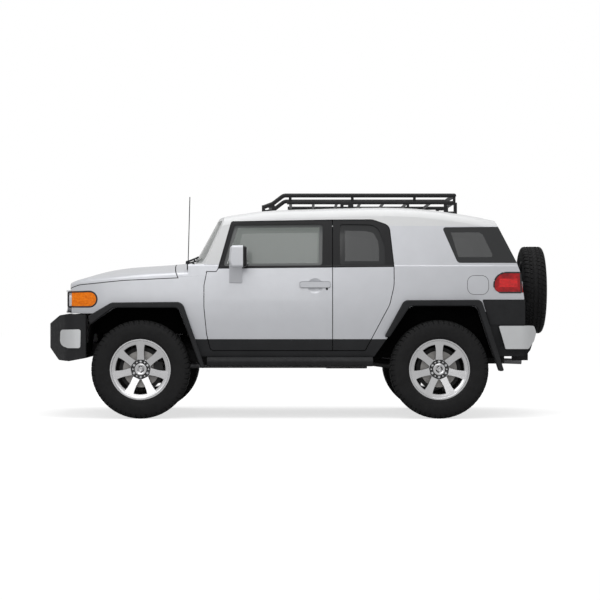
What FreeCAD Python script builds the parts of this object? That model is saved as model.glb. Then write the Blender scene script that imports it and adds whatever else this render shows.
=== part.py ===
"""Lifted off-road 4x4 with two front doors, two rear-hinged access doors, a side-hinged
tailgate that carries the spare wheel, and a tubular roof rack.

Frame: +X towards the front bumper, +Y to the vehicle's left, +Z up, origin on the ground
under the middle of the overall length. All sizes are millimetres.
"""

import FreeCAD
import Part
import math
import os

from FreeCAD import Vector

os.makedirs("parts", exist_ok=True)

# Wheels and axles
WHEELBASE = 2690.0
FRONT_AXLE_X = 1436.0
REAR_AXLE_X = FRONT_AXLE_X - WHEELBASE
TRACK = 1630.0
WHEEL_Y = TRACK / 2
TYRE_DIAMETER = 888.0
TYRE_RADIUS = TYRE_DIAMETER / 2
TYRE_WIDTH = 292.0
AXLE_Z = TYRE_RADIUS
RIM_RADIUS = 265.0
RIM_WIDTH = 226.0
RIM_WALL = 10.0
SPOKE_COUNT = 7
STEER_AXIS_Y = 775.0
RUNNING_GAP = 6.0
PIN_GAP = 0.3

# Body outer sizes
BODY_HALF_WIDTH = 897.0
BARREL_DROP = 24.0
WIDEST_Z = 960.0
SILL_BOTTOM_Z = 560.0
DOOR_BOTTOM_Z = 616.0
BELT_Z = 1366.0
ROOF_SEAM_Z = 1741.0
ROOF_FRONT_Z = 1772.0
NOSE_X = FRONT_AXLE_X + 714.0
TAIL_X = REAR_AXLE_X - 801.0
SHELL = 28.0
WALL = 92.0
ROOF_WALL = 46.0
FLOOR_TOP_Z = 640.0
PANEL_GAP = 7.0
LIP = 5.0
LIP_STEP = 14.0
SEAT_GAP = 0.3

# Fixed places along the body, measured from the axles
DOOR_FRONT_X = FRONT_AXLE_X - 574.0
DOOR_SPLIT_X = FRONT_AXLE_X - 1730.0
DOOR_REAR_X = REAR_AXLE_X + 409.0
FENDER_REAR_X = DOOR_FRONT_X + PANEL_GAP
FENDER_FOOT_X = DOOR_FRONT_X - 82.0
HOOD_REAR_X = FRONT_AXLE_X - 279.0
HOOD_REAR_LOW_X = FRONT_AXLE_X - 331.0
NOSE_SEAM_X = FRONT_AXLE_X + 542.0


# Shape helpers

def mirrored(shape):
    """The same shape on the other side of the vehicle's centre plane."""
    return shape.mirror(Vector(0, 0, 0), Vector(0, 1, 0))


def both_sides(shape):
    """A compound of the shape and its mirror image."""
    return Part.makeCompound([shape, mirrored(shape)])


def rounded_wire(corners, place):
    """A closed wire through (u, v, radius) corners, each rounded by a tangent arc."""
    count = len(corners)
    pieces = []
    for i in range(count):
        before, here, after = corners[i - 1], corners[i], corners[(i + 1) % count]
        p = Vector(here[0], here[1], 0)
        a = Vector(before[0], before[1], 0) - p
        b = Vector(after[0], after[1], 0) - p
        radius = here[2] if len(here) > 2 else 0.0
        half = a.getAngle(b) / 2
        if radius <= 0 or half > math.radians(89.8):
            pieces.append((p, None, p))
            continue
        reach = radius / math.tan(half)
        start = p + a.normalize() * reach
        end = p + b.normalize() * reach
        middle_way = ((start + end) * 0.5 - p).normalize()
        middle = p + middle_way * (radius / math.sin(half) - radius)
        pieces.append((start, middle, end))
    edges = []
    for i in range(count):
        start, middle, end = pieces[i]
        following = pieces[(i + 1) % count][0]
        if middle is not None:
            edges.append(Part.Arc(place(start), place(middle), place(end)).toShape())
        if (following - end).Length > 1e-6:
            edges.append(Part.LineSegment(place(end), place(following)).toShape())
    return Part.Wire(Part.__sortEdges__(edges))


def prism_y(corners, y0, y1):
    """A side-view outline of (x, z, radius) corners, extruded from y0 to y1."""
    wire = rounded_wire(corners, lambda p: Vector(p.x, y0, p.y))
    return Part.Face(wire).extrude(Vector(0, y1 - y0, 0))


def prism_z(corners, z0, z1):
    """A plan outline of (x, y, radius) corners, extruded from z0 to z1."""
    wire = rounded_wire(corners, lambda p: Vector(p.x, p.y, z0))
    return Part.Face(wire).extrude(Vector(0, 0, z1 - z0))


def prism_x(corners, x0, x1):
    """A front-view outline of (y, z, radius) corners, extruded from x0 to x1."""
    wire = rounded_wire(corners, lambda p: Vector(x0, p.x, p.y))
    return Part.Face(wire).extrude(Vector(x1 - x0, 0, 0))


def box(x0, x1, y0, y1, z0, z1):
    """A box between two corners."""
    return Part.makeBox(x1 - x0, y1 - y0, z1 - z0, Vector(x0, y0, z0))


def rod(a, b, radius):
    """A round bar from point a to point b."""
    a, b = Vector(*a), Vector(*b)
    return Part.makeCylinder(radius, (b - a).Length, a, b - a)


def grown(corners, gap):
    """The outline moved outwards by gap, or inwards where gap is negative."""
    count = len(corners)
    area = 0.0
    for i in range(count):
        p, q = corners[i], corners[(i + 1) % count]
        area += p[0] * q[1] - q[0] * p[1]
    turn = 1.0 if area > 0 else -1.0
    result = []
    for i in range(count):
        a, p, b = corners[i - 1], corners[i], corners[(i + 1) % count]
        d1 = Vector(p[0] - a[0], p[1] - a[1], 0).normalize()
        d2 = Vector(b[0] - p[0], b[1] - p[1], 0).normalize()
        n1 = Vector(d1.y, -d1.x, 0) * turn
        n2 = Vector(d2.y, -d2.x, 0) * turn
        cosine = 1.0 + n1.dot(n2)
        shift = (n1 + n2) * (gap / cosine)
        convex = (d1.x * d2.y - d1.y * d2.x) * turn > 0
        radius = p[2] if len(p) > 2 else 0.0
        if radius > 0:
            radius = max(0.5, radius + gap if convex else radius - gap)
        result.append((p[0] + shift.x, p[1] + shift.y, radius))
    return result


def tube_path(points, radius, bend):
    """A round tube along a polyline whose corners are bent to the given radius."""
    path = []
    last = Vector(*points[0])
    for i in range(1, len(points) - 1):
        p = Vector(*points[i])
        a = (Vector(*points[i - 1]) - p).normalize()
        b = (Vector(*points[i + 1]) - p).normalize()
        half = a.getAngle(b) / 2
        reach = bend / math.tan(half)
        start, end = p + a * reach, p + b * reach
        middle = p + ((a + b).normalize()) * (bend / math.sin(half) - bend)
        path.append(Part.LineSegment(last, start).toShape())
        path.append(Part.Arc(start, middle, end).toShape())
        last = end
    path.append(Part.LineSegment(last, Vector(*points[-1])).toShape())
    wire = Part.Wire(path)
    first = Vector(*points[0])
    way = (Vector(*points[1]) - first).normalize()
    circle = Part.Wire([Part.Circle(first, way, radius).toShape()])
    return wire.makePipeShell([circle], True, True)


def solids_of(shape):
    """The solids of a boolean result, as one solid or one compound."""
    kept = [s for s in shape.Solids if s.Volume > 50.0]
    return kept[0] if len(kept) == 1 else Part.makeCompound(kept)


def save(name, shape):
    """Writes one node, after a check that it is made of valid closed solids."""
    shape = solids_of(shape)
    bad = [s for s in shape.Solids if not s.isValid()]
    print(f"{name:22s} solids {len(shape.Solids)} bad {len(bad)} litres {shape.Volume / 1e6:.2f}")
    shape.exportStep(os.path.join("parts", name + ".step"))


# Master surfaces of the body

def half_width(x):
    """Half width of the body at its widest height, tapering towards nose and tail."""
    front = max(0.0, x - (FRONT_AXLE_X - 536.0)) / 1250.0
    rear = max(0.0, (REAR_AXLE_X + 354.0) - x) / 1150.0
    return BODY_HALF_WIDTH - 97.0 * front ** 3 - 60.0 * rear ** 3


def side_y(x, z):
    """The outer body side below the belt: a shallow barrel."""
    return half_width(x) - BARREL_DROP * ((z - WIDEST_Z) / (WIDEST_Z - SILL_BOTTOM_Z)) ** 2


def fender_crease_z(x):
    """Height of the front fender's shoulder, falling towards the nose."""
    t = min(1.0, max(0.0, (x - DOOR_FRONT_X) / 1145.0))
    nose_drop = 69.0 * (max(0.0, x - 1990.0) / 160.0) ** 2
    return 1291.0 - 82.0 * t ** 1.6 - nose_drop


def hood_centre_z(x):
    """Height of the hood and cowl along the centre line."""
    t = max(0.0, (x - HOOD_REAR_X) / 993.0)
    rise = 0.13 * max(0.0, HOOD_REAR_X - x)
    return 1398.0 + rise - 50.0 * t - 164.0 * t ** 3.9


def bow(start, middle, end):
    """A shallow parabolic curve from start to end whose mid-point is middle."""
    curve = Part.BezierCurve()
    curve.setPoles([start, middle * 2.0 - (start + end) * 0.5, end])
    return curve.toShape()


def closed_section(x, right_side):
    """A closed section at x from the left side's points: base, side, shoulder and crown."""
    base, waist, top, shoulder, deck, crown = right_side
    left = [Vector(p.x, -p.y, p.z) for p in right_side]
    edges = [
        Part.LineSegment(left[0], base).toShape(),
        bow(base, waist, top),
        bow(top, shoulder, deck),
        bow(deck, crown, left[4]),
        bow(left[4], left[3], left[2]),
        bow(left[2], left[1], left[0]),
    ]
    return Part.Wire(edges)


def body_section(x, base_z, top_z, crown_z, inset):
    """Section of the lower body: barrel side, soft shoulder and a crowned top."""
    top = top_z - inset
    middle = (base_z + top) / 2
    y_top = side_y(x, top_z) - inset
    deck = min(46.0, crown_z - inset - 8.0 - top)
    points = [
        Vector(x, side_y(x, base_z) - inset, base_z),
        Vector(x, side_y(x, middle) - inset, middle),
        Vector(x, y_top, top),
        Vector(x, y_top - 16.0, top + 0.6 * deck),
        Vector(x, y_top - 62.0, top + deck),
        Vector(x, 0.0, crown_z - inset),
    ]
    return closed_section(x, points)


def front_body(inset):
    """The body ahead of the doors, from the foot of the fender to past the nose."""
    stations = [FENDER_FOOT_X, 1000.0, 1300.0, 1600.0, 1850.0, 1985.0, 2060.0, 2125.0, NOSE_X + 40.0]
    wires = [
        body_section(x, SILL_BOTTOM_Z, fender_crease_z(x), hood_centre_z(x), inset)
        for x in stations
    ]
    return Part.makeLoft(wires, True, False)


def cabin_base(inset, base_z, rise=0.0):
    """The body below the belt, from the front doors to past the tail; rise lifts its top."""
    stations = [1010.0, 300.0, -400.0, REAR_AXLE_X + 254.0, -1400.0, -1800.0, TAIL_X - 60.0]
    wires = [body_section(x, base_z, BELT_Z + rise, BELT_Z + 70.0 + rise, inset) for x in stations]
    return Part.makeLoft(wires, True, False)


CABIN_BASE_Z = 1340.0
TUMBLEHOME = 0.2315


def glass_y(x, z):
    """Outer surface of the glasshouse side, leaning in as it rises."""
    bulge = 8.0 * (1.0 - ((z - 1570.0) / 270.0) ** 2)
    return side_y(x, BELT_Z) - 6.0 - TUMBLEHOME * (z - BELT_Z) + bulge


ROOF_LINE = [
    (1010.0, 1748.0), (762.0, 1806.0), (680.0, 1838.0), (552.0, 1860.0), (368.0, 1886.0),
    (0.0, 1905.0), (-450.0, 1918.0), (-760.0, 1922.0), (-1060.0, 1912.0), (-1350.0, 1880.0),
    (-1650.0, 1829.0), (-1850.0, 1784.0), (TAIL_X - 20.0, 1726.0),
]


def glasshouse(inset):
    """The cabin above the belt, with tumblehome sides and a crowned roof."""
    wires = []
    for x, roof_z in ROOF_LINE:
        top_z = roof_z - 92.0
        middle = (CABIN_BASE_Z + top_z) / 2
        y_top = glass_y(x, top_z) - inset
        crown = roof_z - inset * 0.7
        points = [
            Vector(x, glass_y(x, CABIN_BASE_Z) - inset, CABIN_BASE_Z),
            Vector(x, glass_y(x, middle) - inset, middle),
            Vector(x, y_top, top_z),
            Vector(x, y_top - 42.0, crown - 36.0),
            Vector(x, y_top - 112.0, crown - 12.0),
            Vector(x, 0.0, crown + 8.0),
        ]
        wires.append(closed_section(x, points))
    return Part.makeLoft(wires, True, False)


def curtain(levels, far_x):
    """A solid bounded by a curved upright surface; levels are (z, x at centre, x at y 1000)."""
    wires = []
    for z, centre_x, edge_x in levels:
        arc = bow(Vector(edge_x, -1000.0, z), Vector(centre_x, 0.0, z), Vector(edge_x, 1000.0, z))
        wires.append(Part.Wire([
            arc,
            Part.LineSegment(Vector(edge_x, 1000.0, z), Vector(far_x, 1000.0, z)).toShape(),
            Part.LineSegment(Vector(far_x, 1000.0, z), Vector(far_x, -1000.0, z)).toShape(),
            Part.LineSegment(Vector(far_x, -1000.0, z), Vector(edge_x, -1000.0, z)).toShape(),
        ]))
    return Part.makeLoft(wires, True, True)


def ahead_of_windscreen(shift):
    """Everything ahead of the windscreen's surface, which is moved by shift in X."""
    levels = [(1250.0, 1079.0 + shift, 879.0 + shift), (1950.0, 689.0 + shift, 551.0 + shift)]
    return curtain(levels, 2600.0)


def ahead_of_nose(shift):
    """Everything ahead of the nose panel's surface."""
    levels = [(400.0, NOSE_X + shift, NOSE_X - 118.0 + shift),
              (1500.0, NOSE_X - 12.0 + shift, NOSE_X - 130.0 + shift)]
    return curtain(levels, 2700.0)


TAIL_PROFILE = [(480.0, 0.0), (1090.0, 0.0), (1330.0, 38.0), (1420.0, 72.0), (1760.0, 247.0), (1960.0, 352.0)]


def behind_tail(shift):
    """Everything behind the tail's surface, upright below the belt and raked above it."""
    levels = [(z, TAIL_X + lean + shift, TAIL_X + lean + 42.0 + shift) for z, lean in TAIL_PROFILE]
    return curtain(levels, -2800.0)


# Side-view outlines of openings

DOOR_TOP_Z = 1792.0


def front_door_outline():
    """Outline of the front door, clockwise from its lower front corner."""
    split = DOOR_SPLIT_X + PANEL_GAP / 2
    return [
        (803.0, DOOR_BOTTOM_Z, 30.0), (838.0, 760.0, 200.0), (DOOR_FRONT_X, 1000.0, 300.0),
        (DOOR_FRONT_X, 1200.0, 120.0), (838.0, 1322.0, 3.0), (752.0, 1322.0, 20.0),
        (735.0, 1352.0, 40.0), (618.0, ROOF_FRONT_Z + 4.0, 14.0),
        (split, DOOR_TOP_Z, 0.0), (split, DOOR_BOTTOM_Z, 0.0),
    ]


def rear_door_outline():
    """Outline of the rear-hinged access door."""
    split = DOOR_SPLIT_X - PANEL_GAP / 2
    return [
        (split, DOOR_BOTTOM_Z, 0.0), (split, DOOR_TOP_Z, 0.0), (-655.0, 1794.0, 120.0),
        (-806.0, 1742.0, 70.0), (DOOR_REAR_X, 1372.0, 250.0), (DOOR_REAR_X, 1200.0, 250.0),
        (-806.0, 1030.0, 200.0), (-586.0, DOOR_BOTTOM_Z, 20.0),
    ]


def doors_outline():
    """One outline round both doors of a side."""
    front = front_door_outline()[:-1]
    rear = rear_door_outline()[1:]
    return front + rear


FRONT_WINDOW = [(692.0, 1376.0, 20.0), (590.0, 1750.0, 26.0), (-206.0, 1757.0, 30.0), (-200.0, 1382.0, 30.0)]
REAR_WINDOW = [(-361.0, 1388.0, 26.0), (-361.0, 1757.0, 26.0), (-700.0, 1752.0, 110.0), (-768.0, 1560.0, 200.0), (-772.0, 1388.0, 30.0)]
QUARTER_WINDOW = [(-1286.0, 1728.0, 22.0), (-1860.0, 1734.0, 0.0), (-2010.0, 1404.0, 0.0), (-1424.0, 1404.0, 40.0)]

FRONT_ARCH = [
    (FRONT_AXLE_X + 520.0, 300.0, 0.0), (FRONT_AXLE_X + 452.0, 848.0, 60.0),
    (FRONT_AXLE_X + 240.0, 1000.0, 90.0), (FRONT_AXLE_X - 340.0, 1000.0, 60.0),
    (FRONT_AXLE_X - 556.0, 420.0, 0.0), (FRONT_AXLE_X - 556.0, 300.0, 0.0),
]
REAR_ARCH = [
    (REAR_AXLE_X + 600.0, 300.0, 0.0), (REAR_AXLE_X + 600.0, 540.0, 0.0),
    (REAR_AXLE_X + 262.0, 1015.0, 80.0), (REAR_AXLE_X - 340.0, 1015.0, 70.0),
    (REAR_AXLE_X - 540.0, 420.0, 0.0), (REAR_AXLE_X - 540.0, 300.0, 0.0),
]
LINER_WALL = 12.0
LINER_INNER_Y = 620.0
TAIL_LAMP = [(-1750.0, 1317.0, 112.0), (-2120.0, 1317.0, 0.0), (-2120.0, 1136.0, 0.0), (-1750.0, 1136.0, 62.0)]
CORNER_LAMP = [(2200.0, 1150.0, 0.0), (1832.0, 1150.0, 70.0), (1832.0, 1006.0, 70.0), (2200.0, 1006.0, 0.0)]
CORNER_PANEL = [(-1644.0, 1073.0, 10.0), (-2200.0, 1073.0, 0.0), (-2200.0, 846.0, 0.0), (-1715.0, 846.0, 0.0)]

TAILGATE_HALF = 700.0
TAILGATE_BOTTOM_Z = 856.0
TAILGATE_TOP_Z = 1742.0


def tailgate_outline():
    """Rear-view outline of the tailgate."""
    return [
        (-TAILGATE_HALF, TAILGATE_BOTTOM_Z, 30.0), (-TAILGATE_HALF, 1380.0, 200.0),
        (-TAILGATE_HALF + 52.0, TAILGATE_TOP_Z, 60.0), (TAILGATE_HALF - 52.0, TAILGATE_TOP_Z, 60.0),
        (TAILGATE_HALF, 1380.0, 200.0), (TAILGATE_HALF, TAILGATE_BOTTOM_Z, 30.0),
    ]


REAR_GLASS = [(-560.0, 1440.0, 50.0), (-540.0, 1700.0, 60.0), (540.0, 1700.0, 60.0), (560.0, 1440.0, 50.0)]


# Master forms

def glass_form(inset, screen_shift, tail_shift):
    """The glasshouse between its screen and its tail."""
    return glasshouse(inset).cut(ahead_of_windscreen(-screen_shift)).cut(behind_tail(tail_shift))


def base_form(inset, base_z, rise=0.0):
    """The cabin below the belt, up to its tail."""
    return cabin_base(inset, base_z, rise).cut(behind_tail(inset))


def nose_layer(inset):
    """The front body's form at an even depth below its surface."""
    return front_body(inset).cut(ahead_of_nose(-inset))


SCREEN_DEPTH = 60.0
SIDE_SPACE = box(-2300.0, 1000.0, 640.0, 1100.0, 400.0, 2000.0)
GLASS_OUT = glass_form(0.0, 0.0, 0.0)
GLASS_IN = glass_form(ROOF_WALL, SCREEN_DEPTH, WALL)
BASE_OUT = base_form(0.0, SILL_BOTTOM_Z)
BASE_IN = base_form(WALL, SILL_BOTTOM_Z - 20.0, WALL + 40.0)
LEFT_OUTER = BASE_OUT.common(SIDE_SPACE).fuse(GLASS_OUT.common(SIDE_SPACE))
LEFT_INNER = BASE_IN.common(SIDE_SPACE).fuse(GLASS_IN.common(SIDE_SPACE))
LEFT_WALL = LEFT_OUTER.cut(LEFT_INNER)
LEFT_UNDER_LIP = cabin_base(LIP, SILL_BOTTOM_Z).common(SIDE_SPACE).fuse(glasshouse(LIP).common(SIDE_SPACE))
FRONT_OUTER = nose_layer(0.0)
FRONT_INNER = nose_layer(SHELL)
FRONT_SHELL = FRONT_OUTER.cut(FRONT_INNER)

# Zones of the body, as side-view outlines
ROOF_ZONE = [(-2300.0, ROOF_SEAM_Z), (540.0, ROOF_SEAM_Z), (640.0, 1392.0), (1010.0, 1392.0), (700.0, 2200.0), (-2300.0, 2200.0)]
COWL_FRONT_X = HOOD_REAR_X - 9.0
COWL_ZONE = [
    (COWL_FRONT_X, 1500.0), (COWL_FRONT_X, 1396.0), (HOOD_REAR_LOW_X - PANEL_GAP, 1279.0),
    (DOOR_FRONT_X - 14.0, 1288.0), (DOOR_FRONT_X - 14.0, 1326.0), (640.0, 1326.0), (640.0, 1391.0),
    (1011.0, 1391.0), (969.6, 1500.0),
]
HOOD_ZONE = [
    (HOOD_REAR_X, 1500.0), (HOOD_REAR_X, 1396.0), (HOOD_REAR_LOW_X, 1272.0),
    (1600.0, 1249.0), (1996.0, 1209.0), (2100.0, 1172.0), (2400.0, 1152.0), (2400.0, 1500.0),
]
BUMPER_TOP_Z = 948.0
BUMPER_REAR_X = FRONT_AXLE_X + 489.0

DOORS_OPENING = prism_y(grown(doors_outline(), PANEL_GAP), 500.0, 1100.0)
FRONT_ARCH_CUT = prism_y(FRONT_ARCH, 445.0, 1100.0)
REAR_ARCH_CUT = prism_y(REAR_ARCH, 600.0, 1100.0)
ROOF_SPACE = prism_y(ROOF_ZONE, -1100.0, 1100.0)


# Hinges

def bar(p, q, half_thick, z0, z1):
    """An upright flat bar between two plan points."""
    a, b = Vector(p[0], p[1], z0), Vector(q[0], q[1], z0)
    way = (b - a).normalize()
    side = Vector(-way.y, way.x, 0) * half_thick
    a, b = a - way * half_thick, b + way * half_thick
    wire = Part.makePolygon([a + side, b + side, b - side, a - side, a + side])
    return Part.Face(wire).extrude(Vector(0, 0, z1 - z0))


HINGE_REACH = 63.0
HINGE_Y = BODY_HALF_WIDTH - 25.0
FRONT_HINGE_X = DOOR_FRONT_X + HINGE_REACH
REAR_HINGE_X = DOOR_REAR_X - HINGE_REACH
HINGE_PIN = 6.0
HINGE_KNUCKLE = 10.0
HINGE_HALF = 20.0
PILLAR_FACE = 20.0
LEAF_DEPTH = 97.0
POCKET_DEPTH = LEAF_DEPTH + 13.0


def hinge_leaf(x, way, z, reach):
    """Gooseneck leaf on the door: from the pin inboard and round to the door's edge."""
    z0, z1 = z - HINGE_HALF, z + HINGE_HALF
    points = [
        (x, HINGE_Y), (x, HINGE_Y - LEAF_DEPTH + 15.0), (x + way * 18.0, HINGE_Y - LEAF_DEPTH),
        (x + way * 70.0, HINGE_Y - LEAF_DEPTH + 13.0), (x + way * reach, HINGE_Y - 42.0),
    ]
    leaf = Part.makeCylinder(HINGE_KNUCKLE, z1 - z0, Vector(x, HINGE_Y, z0))
    for i in range(4):
        leaf = leaf.fuse(bar(points[i], points[i + 1], 5.0, z0, z1))
    return leaf.cut(Part.makeCylinder(HINGE_PIN + PIN_GAP, 200.0, Vector(x, HINGE_Y, z - 100.0)))


def hinge_bracket(x, way, z):
    """Fixed ears with the pin, carried on the pillar's face."""
    pin = Part.makeCylinder(HINGE_PIN, 2 * HINGE_HALF + 20.0, Vector(x, HINGE_Y, z - HINGE_HALF - 10.0))
    bracket = pin
    for z0 in (z - HINGE_HALF - 10.0, z + HINGE_HALF + SEAT_GAP):
        height = 10.0 - SEAT_GAP
        ear = Part.makeCylinder(HINGE_KNUCKLE, height, Vector(x, HINGE_Y, z0))
        far = x - way * (PILLAR_FACE + 8.0)
        plate = box(min(x, far), max(x, far), HINGE_Y - 8.0, HINGE_Y + 8.0, z0, z0 + height)
        bracket = bracket.fuse(ear).fuse(plate)
    return bracket


FRONT_HINGES = [(820.0, 114.0), (1125.0, 100.0)]
REAR_HINGES = [(1124.0, 110.0), (1208.0, 108.0)]


# Doors

def door_panel(outline):
    """A door cut from the wall: a thin outer skin with a lip round a smaller inner panel."""
    skin = LEFT_OUTER.common(prism_y(outline, 500.0, 1100.0)).cut(LEFT_UNDER_LIP)
    core = LEFT_WALL.common(prism_y(grown(outline, -LIP_STEP), 500.0, 1100.0))
    return skin.fuse(core)


GLASS_DEPTH = 14.0
GLASS_THICK = 5.0
GLASS_REBATE = 12.0
BEHIND_GLASS = glasshouse(GLASS_DEPTH + GLASS_THICK)
GLASS_FRONT = glasshouse(GLASS_DEPTH + SEAT_GAP)
REBATE_FRONT = glasshouse(GLASS_DEPTH)


def glazed(panel, outline):
    """The panel with a window hole and its rebate, and the pane that lies in the rebate."""
    hole = prism_y(outline, 500.0, 1100.0)
    rebate = prism_y(grown(outline, GLASS_REBATE), 500.0, 1100.0).common(REBATE_FRONT)
    pane = prism_y(grown(outline, GLASS_REBATE - SEAT_GAP), 500.0, 1100.0).common(GLASS_FRONT).cut(BEHIND_GLASS)
    return panel.cut(hole).cut(rebate), pane


DISH_RADIUS = 70.0
DISH_DEPTH = 18.0


def handle_for(x0, x1, z):
    """A pull handle's shallow slot and round finger dish, and the handle bar."""
    middle = (x0 + x1) / 2
    y = side_y(middle, z)
    recess = prism_y([(x0, z + 31.0, 20.0), (x1, z + 31.0, 20.0), (x1, z - 31.0, 20.0), (x0, z - 31.0, 20.0)], y - 14.0, y + 20.0)
    dish_reach = (DISH_RADIUS ** 2 + DISH_DEPTH ** 2) / (2 * DISH_DEPTH)
    recess = recess.fuse(Part.makeSphere(dish_reach, Vector(middle, y + dish_reach - DISH_DEPTH, z)))
    grip = prism_y([
        (x0 + 5.0, z + 26.0, 16.0), (x1 - 5.0, z + 26.0, 16.0), (x1 - 5.0, z - 24.0, 16.0), (x0 + 5.0, z - 24.0, 16.0),
    ], y - 4.0, y + 12.0)
    posts = box(x0 + 14.0, x0 + 44.0, y - 20.0, y - 4.0, z - 16.0, z + 16.0)
    posts = posts.fuse(box(x1 - 44.0, x1 - 14.0, y - 20.0, y - 4.0, z - 16.0, z + 16.0))
    return recess, grip.fuse(posts)


front_door = door_panel(front_door_outline())
front_door, front_pane = glazed(front_door, FRONT_WINDOW)
recess, grip = handle_for(-276.0, 4.0, 1206.0)
front_door = front_door.cut(recess).fuse(grip)
for height, reach in FRONT_HINGES:
    front_door = front_door.fuse(hinge_leaf(FRONT_HINGE_X, -1.0, height, reach))
rear_door = door_panel(rear_door_outline())
rear_door, rear_pane = glazed(rear_door, REAR_WINDOW)
for height, reach in REAR_HINGES:
    rear_door = rear_door.fuse(hinge_leaf(REAR_HINGE_X, 1.0, height, reach))
save("front_door_left", front_door)
save("front_door_right", mirrored(front_door))
save("front_window_left", front_pane)
save("front_window_right", mirrored(front_pane))
save("rear_door_left", rear_door)
save("rear_door_right", mirrored(rear_door))
save("rear_window_left", rear_pane)
save("rear_window_right", mirrored(rear_pane))


# Body sides

def body_side():
    """The left side wall with its door opening, wheel arch, window and hinge pocket."""
    side = LEFT_WALL.cut(ROOF_SPACE).cut(DOORS_OPENING)
    side = side.cut(REAR_ARCH_CUT)
    side = side.cut(box(600.0, 1200.0, 500.0, 1100.0, DOOR_BOTTOM_Z - PANEL_GAP - 0.01, 1500.0))
    side = side.cut(box(FENDER_FOOT_X - SEAT_GAP, 1200.0, 500.0, 1100.0, 400.0, DOOR_BOTTOM_Z))
    side = side.cut(prism_x(grown(tailgate_outline(), PANEL_GAP), TAIL_X - 100.0, TAIL_X + 400.0))
    z0, z1 = REAR_HINGES[0][0] - 36.0, REAR_HINGES[1][0] + 36.0
    pocket = box(REAR_HINGE_X - PILLAR_FACE, DOOR_REAR_X + 34.0, HINGE_Y - POCKET_DEPTH, 1000.0, z0, z1)
    cover = box(REAR_HINGE_X - PILLAR_FACE - 14.0, DOOR_REAR_X - 1.0, HINGE_Y - POCKET_DEPTH - 14.0, HINGE_Y - 60.0, z0 - 16.0, z1 + 16.0)
    side = side.fuse(cover).cut(pocket.common(cabin_base(4.0, SILL_BOTTOM_Z)))
    for height, reach in REAR_HINGES:
        side = side.fuse(hinge_bracket(REAR_HINGE_X, 1.0, height))
    return side


QUARTER_HOLE = [(-1318.0, 1714.0, 18.0), (-1735.0, 1720.0, 30.0), (-1852.0, 1470.0, 30.0), (-1836.0, 1420.0, 14.0), (-1432.0, 1418.0, 30.0)]
QUARTER_DEPTH = 8.0
side = body_side()
side = side.cut(prism_y(QUARTER_HOLE, 500.0, 1100.0))
side = side.cut(prism_y(grown(QUARTER_WINDOW, SEAT_GAP), 500.0, 1100.0).cut(glasshouse(QUARTER_DEPTH)))
quarter_pane = GLASS_OUT.common(prism_y(QUARTER_WINDOW, 500.0, 1100.0)).cut(glasshouse(QUARTER_DEPTH - SEAT_GAP))
quarter_pane = quarter_pane.cut(ROOF_SPACE)
lamp_pocket = prism_y(grown(TAIL_LAMP, SEAT_GAP), 700.0 + PANEL_GAP, 1100.0).cut(base_form(30.0, SILL_BOTTOM_Z))
tail_lamp = BASE_OUT.common(prism_y(TAIL_LAMP, 700.0 + PANEL_GAP + 2.0, 1100.0)).cut(base_form(30.0 - SEAT_GAP, SILL_BOTTOM_Z))
side = side.cut(lamp_pocket)
FUEL_FLAP = [(-1510.0, 1290.0, 62.0), (-1702.0, 1290.0, 62.0), (-1702.0, 1118.0, 62.0), (-1510.0, 1118.0, 62.0)]
FLAP_SEAM = 4.0
flap_seam = prism_y(grown(FUEL_FLAP, FLAP_SEAM / 2), 700.0, 1100.0).cut(prism_y(grown(FUEL_FLAP, -FLAP_SEAM / 2), 700.0, 1100.0))
flap_seam = flap_seam.cut(base_form(6.0, SILL_BOTTOM_Z))
save("body_side_left", side.cut(flap_seam))
save("tail_lamps", both_sides(tail_lamp))


# Roof with the screen pillars, and the windscreen

SCREEN_OUTLINE = [(-775.0, 1425.0, 50.0), (-690.0, 1776.0, 60.0), (690.0, 1776.0, 60.0), (775.0, 1425.0, 50.0)]
screen_hole = prism_x(SCREEN_OUTLINE, 500.0, 1200.0)
roof = GLASS_OUT.common(ROOF_SPACE).cut(GLASS_IN).cut(DOORS_OPENING).cut(mirrored(DOORS_OPENING))
roof = roof.cut(screen_hole)
rebate = prism_x(grown(SCREEN_OUTLINE, 16.0), 500.0, 1200.0).common(ahead_of_windscreen(-9.0))
roof = roof.cut(rebate)
roof = roof.cut(prism_x(grown(tailgate_outline(), PANEL_GAP), TAIL_X - 100.0, TAIL_X + 500.0))
screen = prism_x(grown(SCREEN_OUTLINE, 16.0 - SEAT_GAP), 500.0, 1200.0).common(GLASS_OUT)
screen = screen.common(ahead_of_windscreen(-9.0 + SEAT_GAP))
screen = screen.cut(box(400.0, 1200.0, -900.0, 900.0, 1300.0, 1410.0))
for hand in (quarter_pane, mirrored(quarter_pane)):
    roof = roof.cut(hand)
save("roof_panel", roof)
save("fixed_glass", Part.makeCompound([screen, quarter_pane, mirrored(quarter_pane)]))


# Cowl, fenders and nose

cowl_space = prism_y(COWL_ZONE, -1100.0, 1100.0)
cowl_foot = cowl_space.common(box(600.0, 1011.0, -1100.0, 1100.0, 1200.0, 1391.0))
cowl_wall = BASE_OUT.fuse(GLASS_OUT).common(cowl_foot).cut(BASE_IN).cut(GLASS_IN)
behind_fender = box(FENDER_FOOT_X - 100.0, FENDER_REAR_X, -1100.0, 1100.0, 1200.0, 1700.0)
cowl = FRONT_SHELL.common(cowl_space).cut(behind_fender).fuse(cowl_wall)
cowl = cowl.cut(DOORS_OPENING).cut(mirrored(DOORS_OPENING)).cut(screen)
HOOD_HINGE_X = HOOD_REAR_X - 67.0
HOOD_HINGE_Z = 1368.0
HOOD_HINGE_Y = 350.0
hood_pocket = box(HOOD_HINGE_X - 25.0, HOOD_REAR_X + 100.0, HOOD_HINGE_Y - 20.0, HOOD_HINGE_Y + 20.0, 1200.0, 1420.0)
hood_pocket = hood_pocket.common(nose_layer(8.0))
cowl = cowl.cut(hood_pocket).cut(mirrored(hood_pocket))
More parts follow.
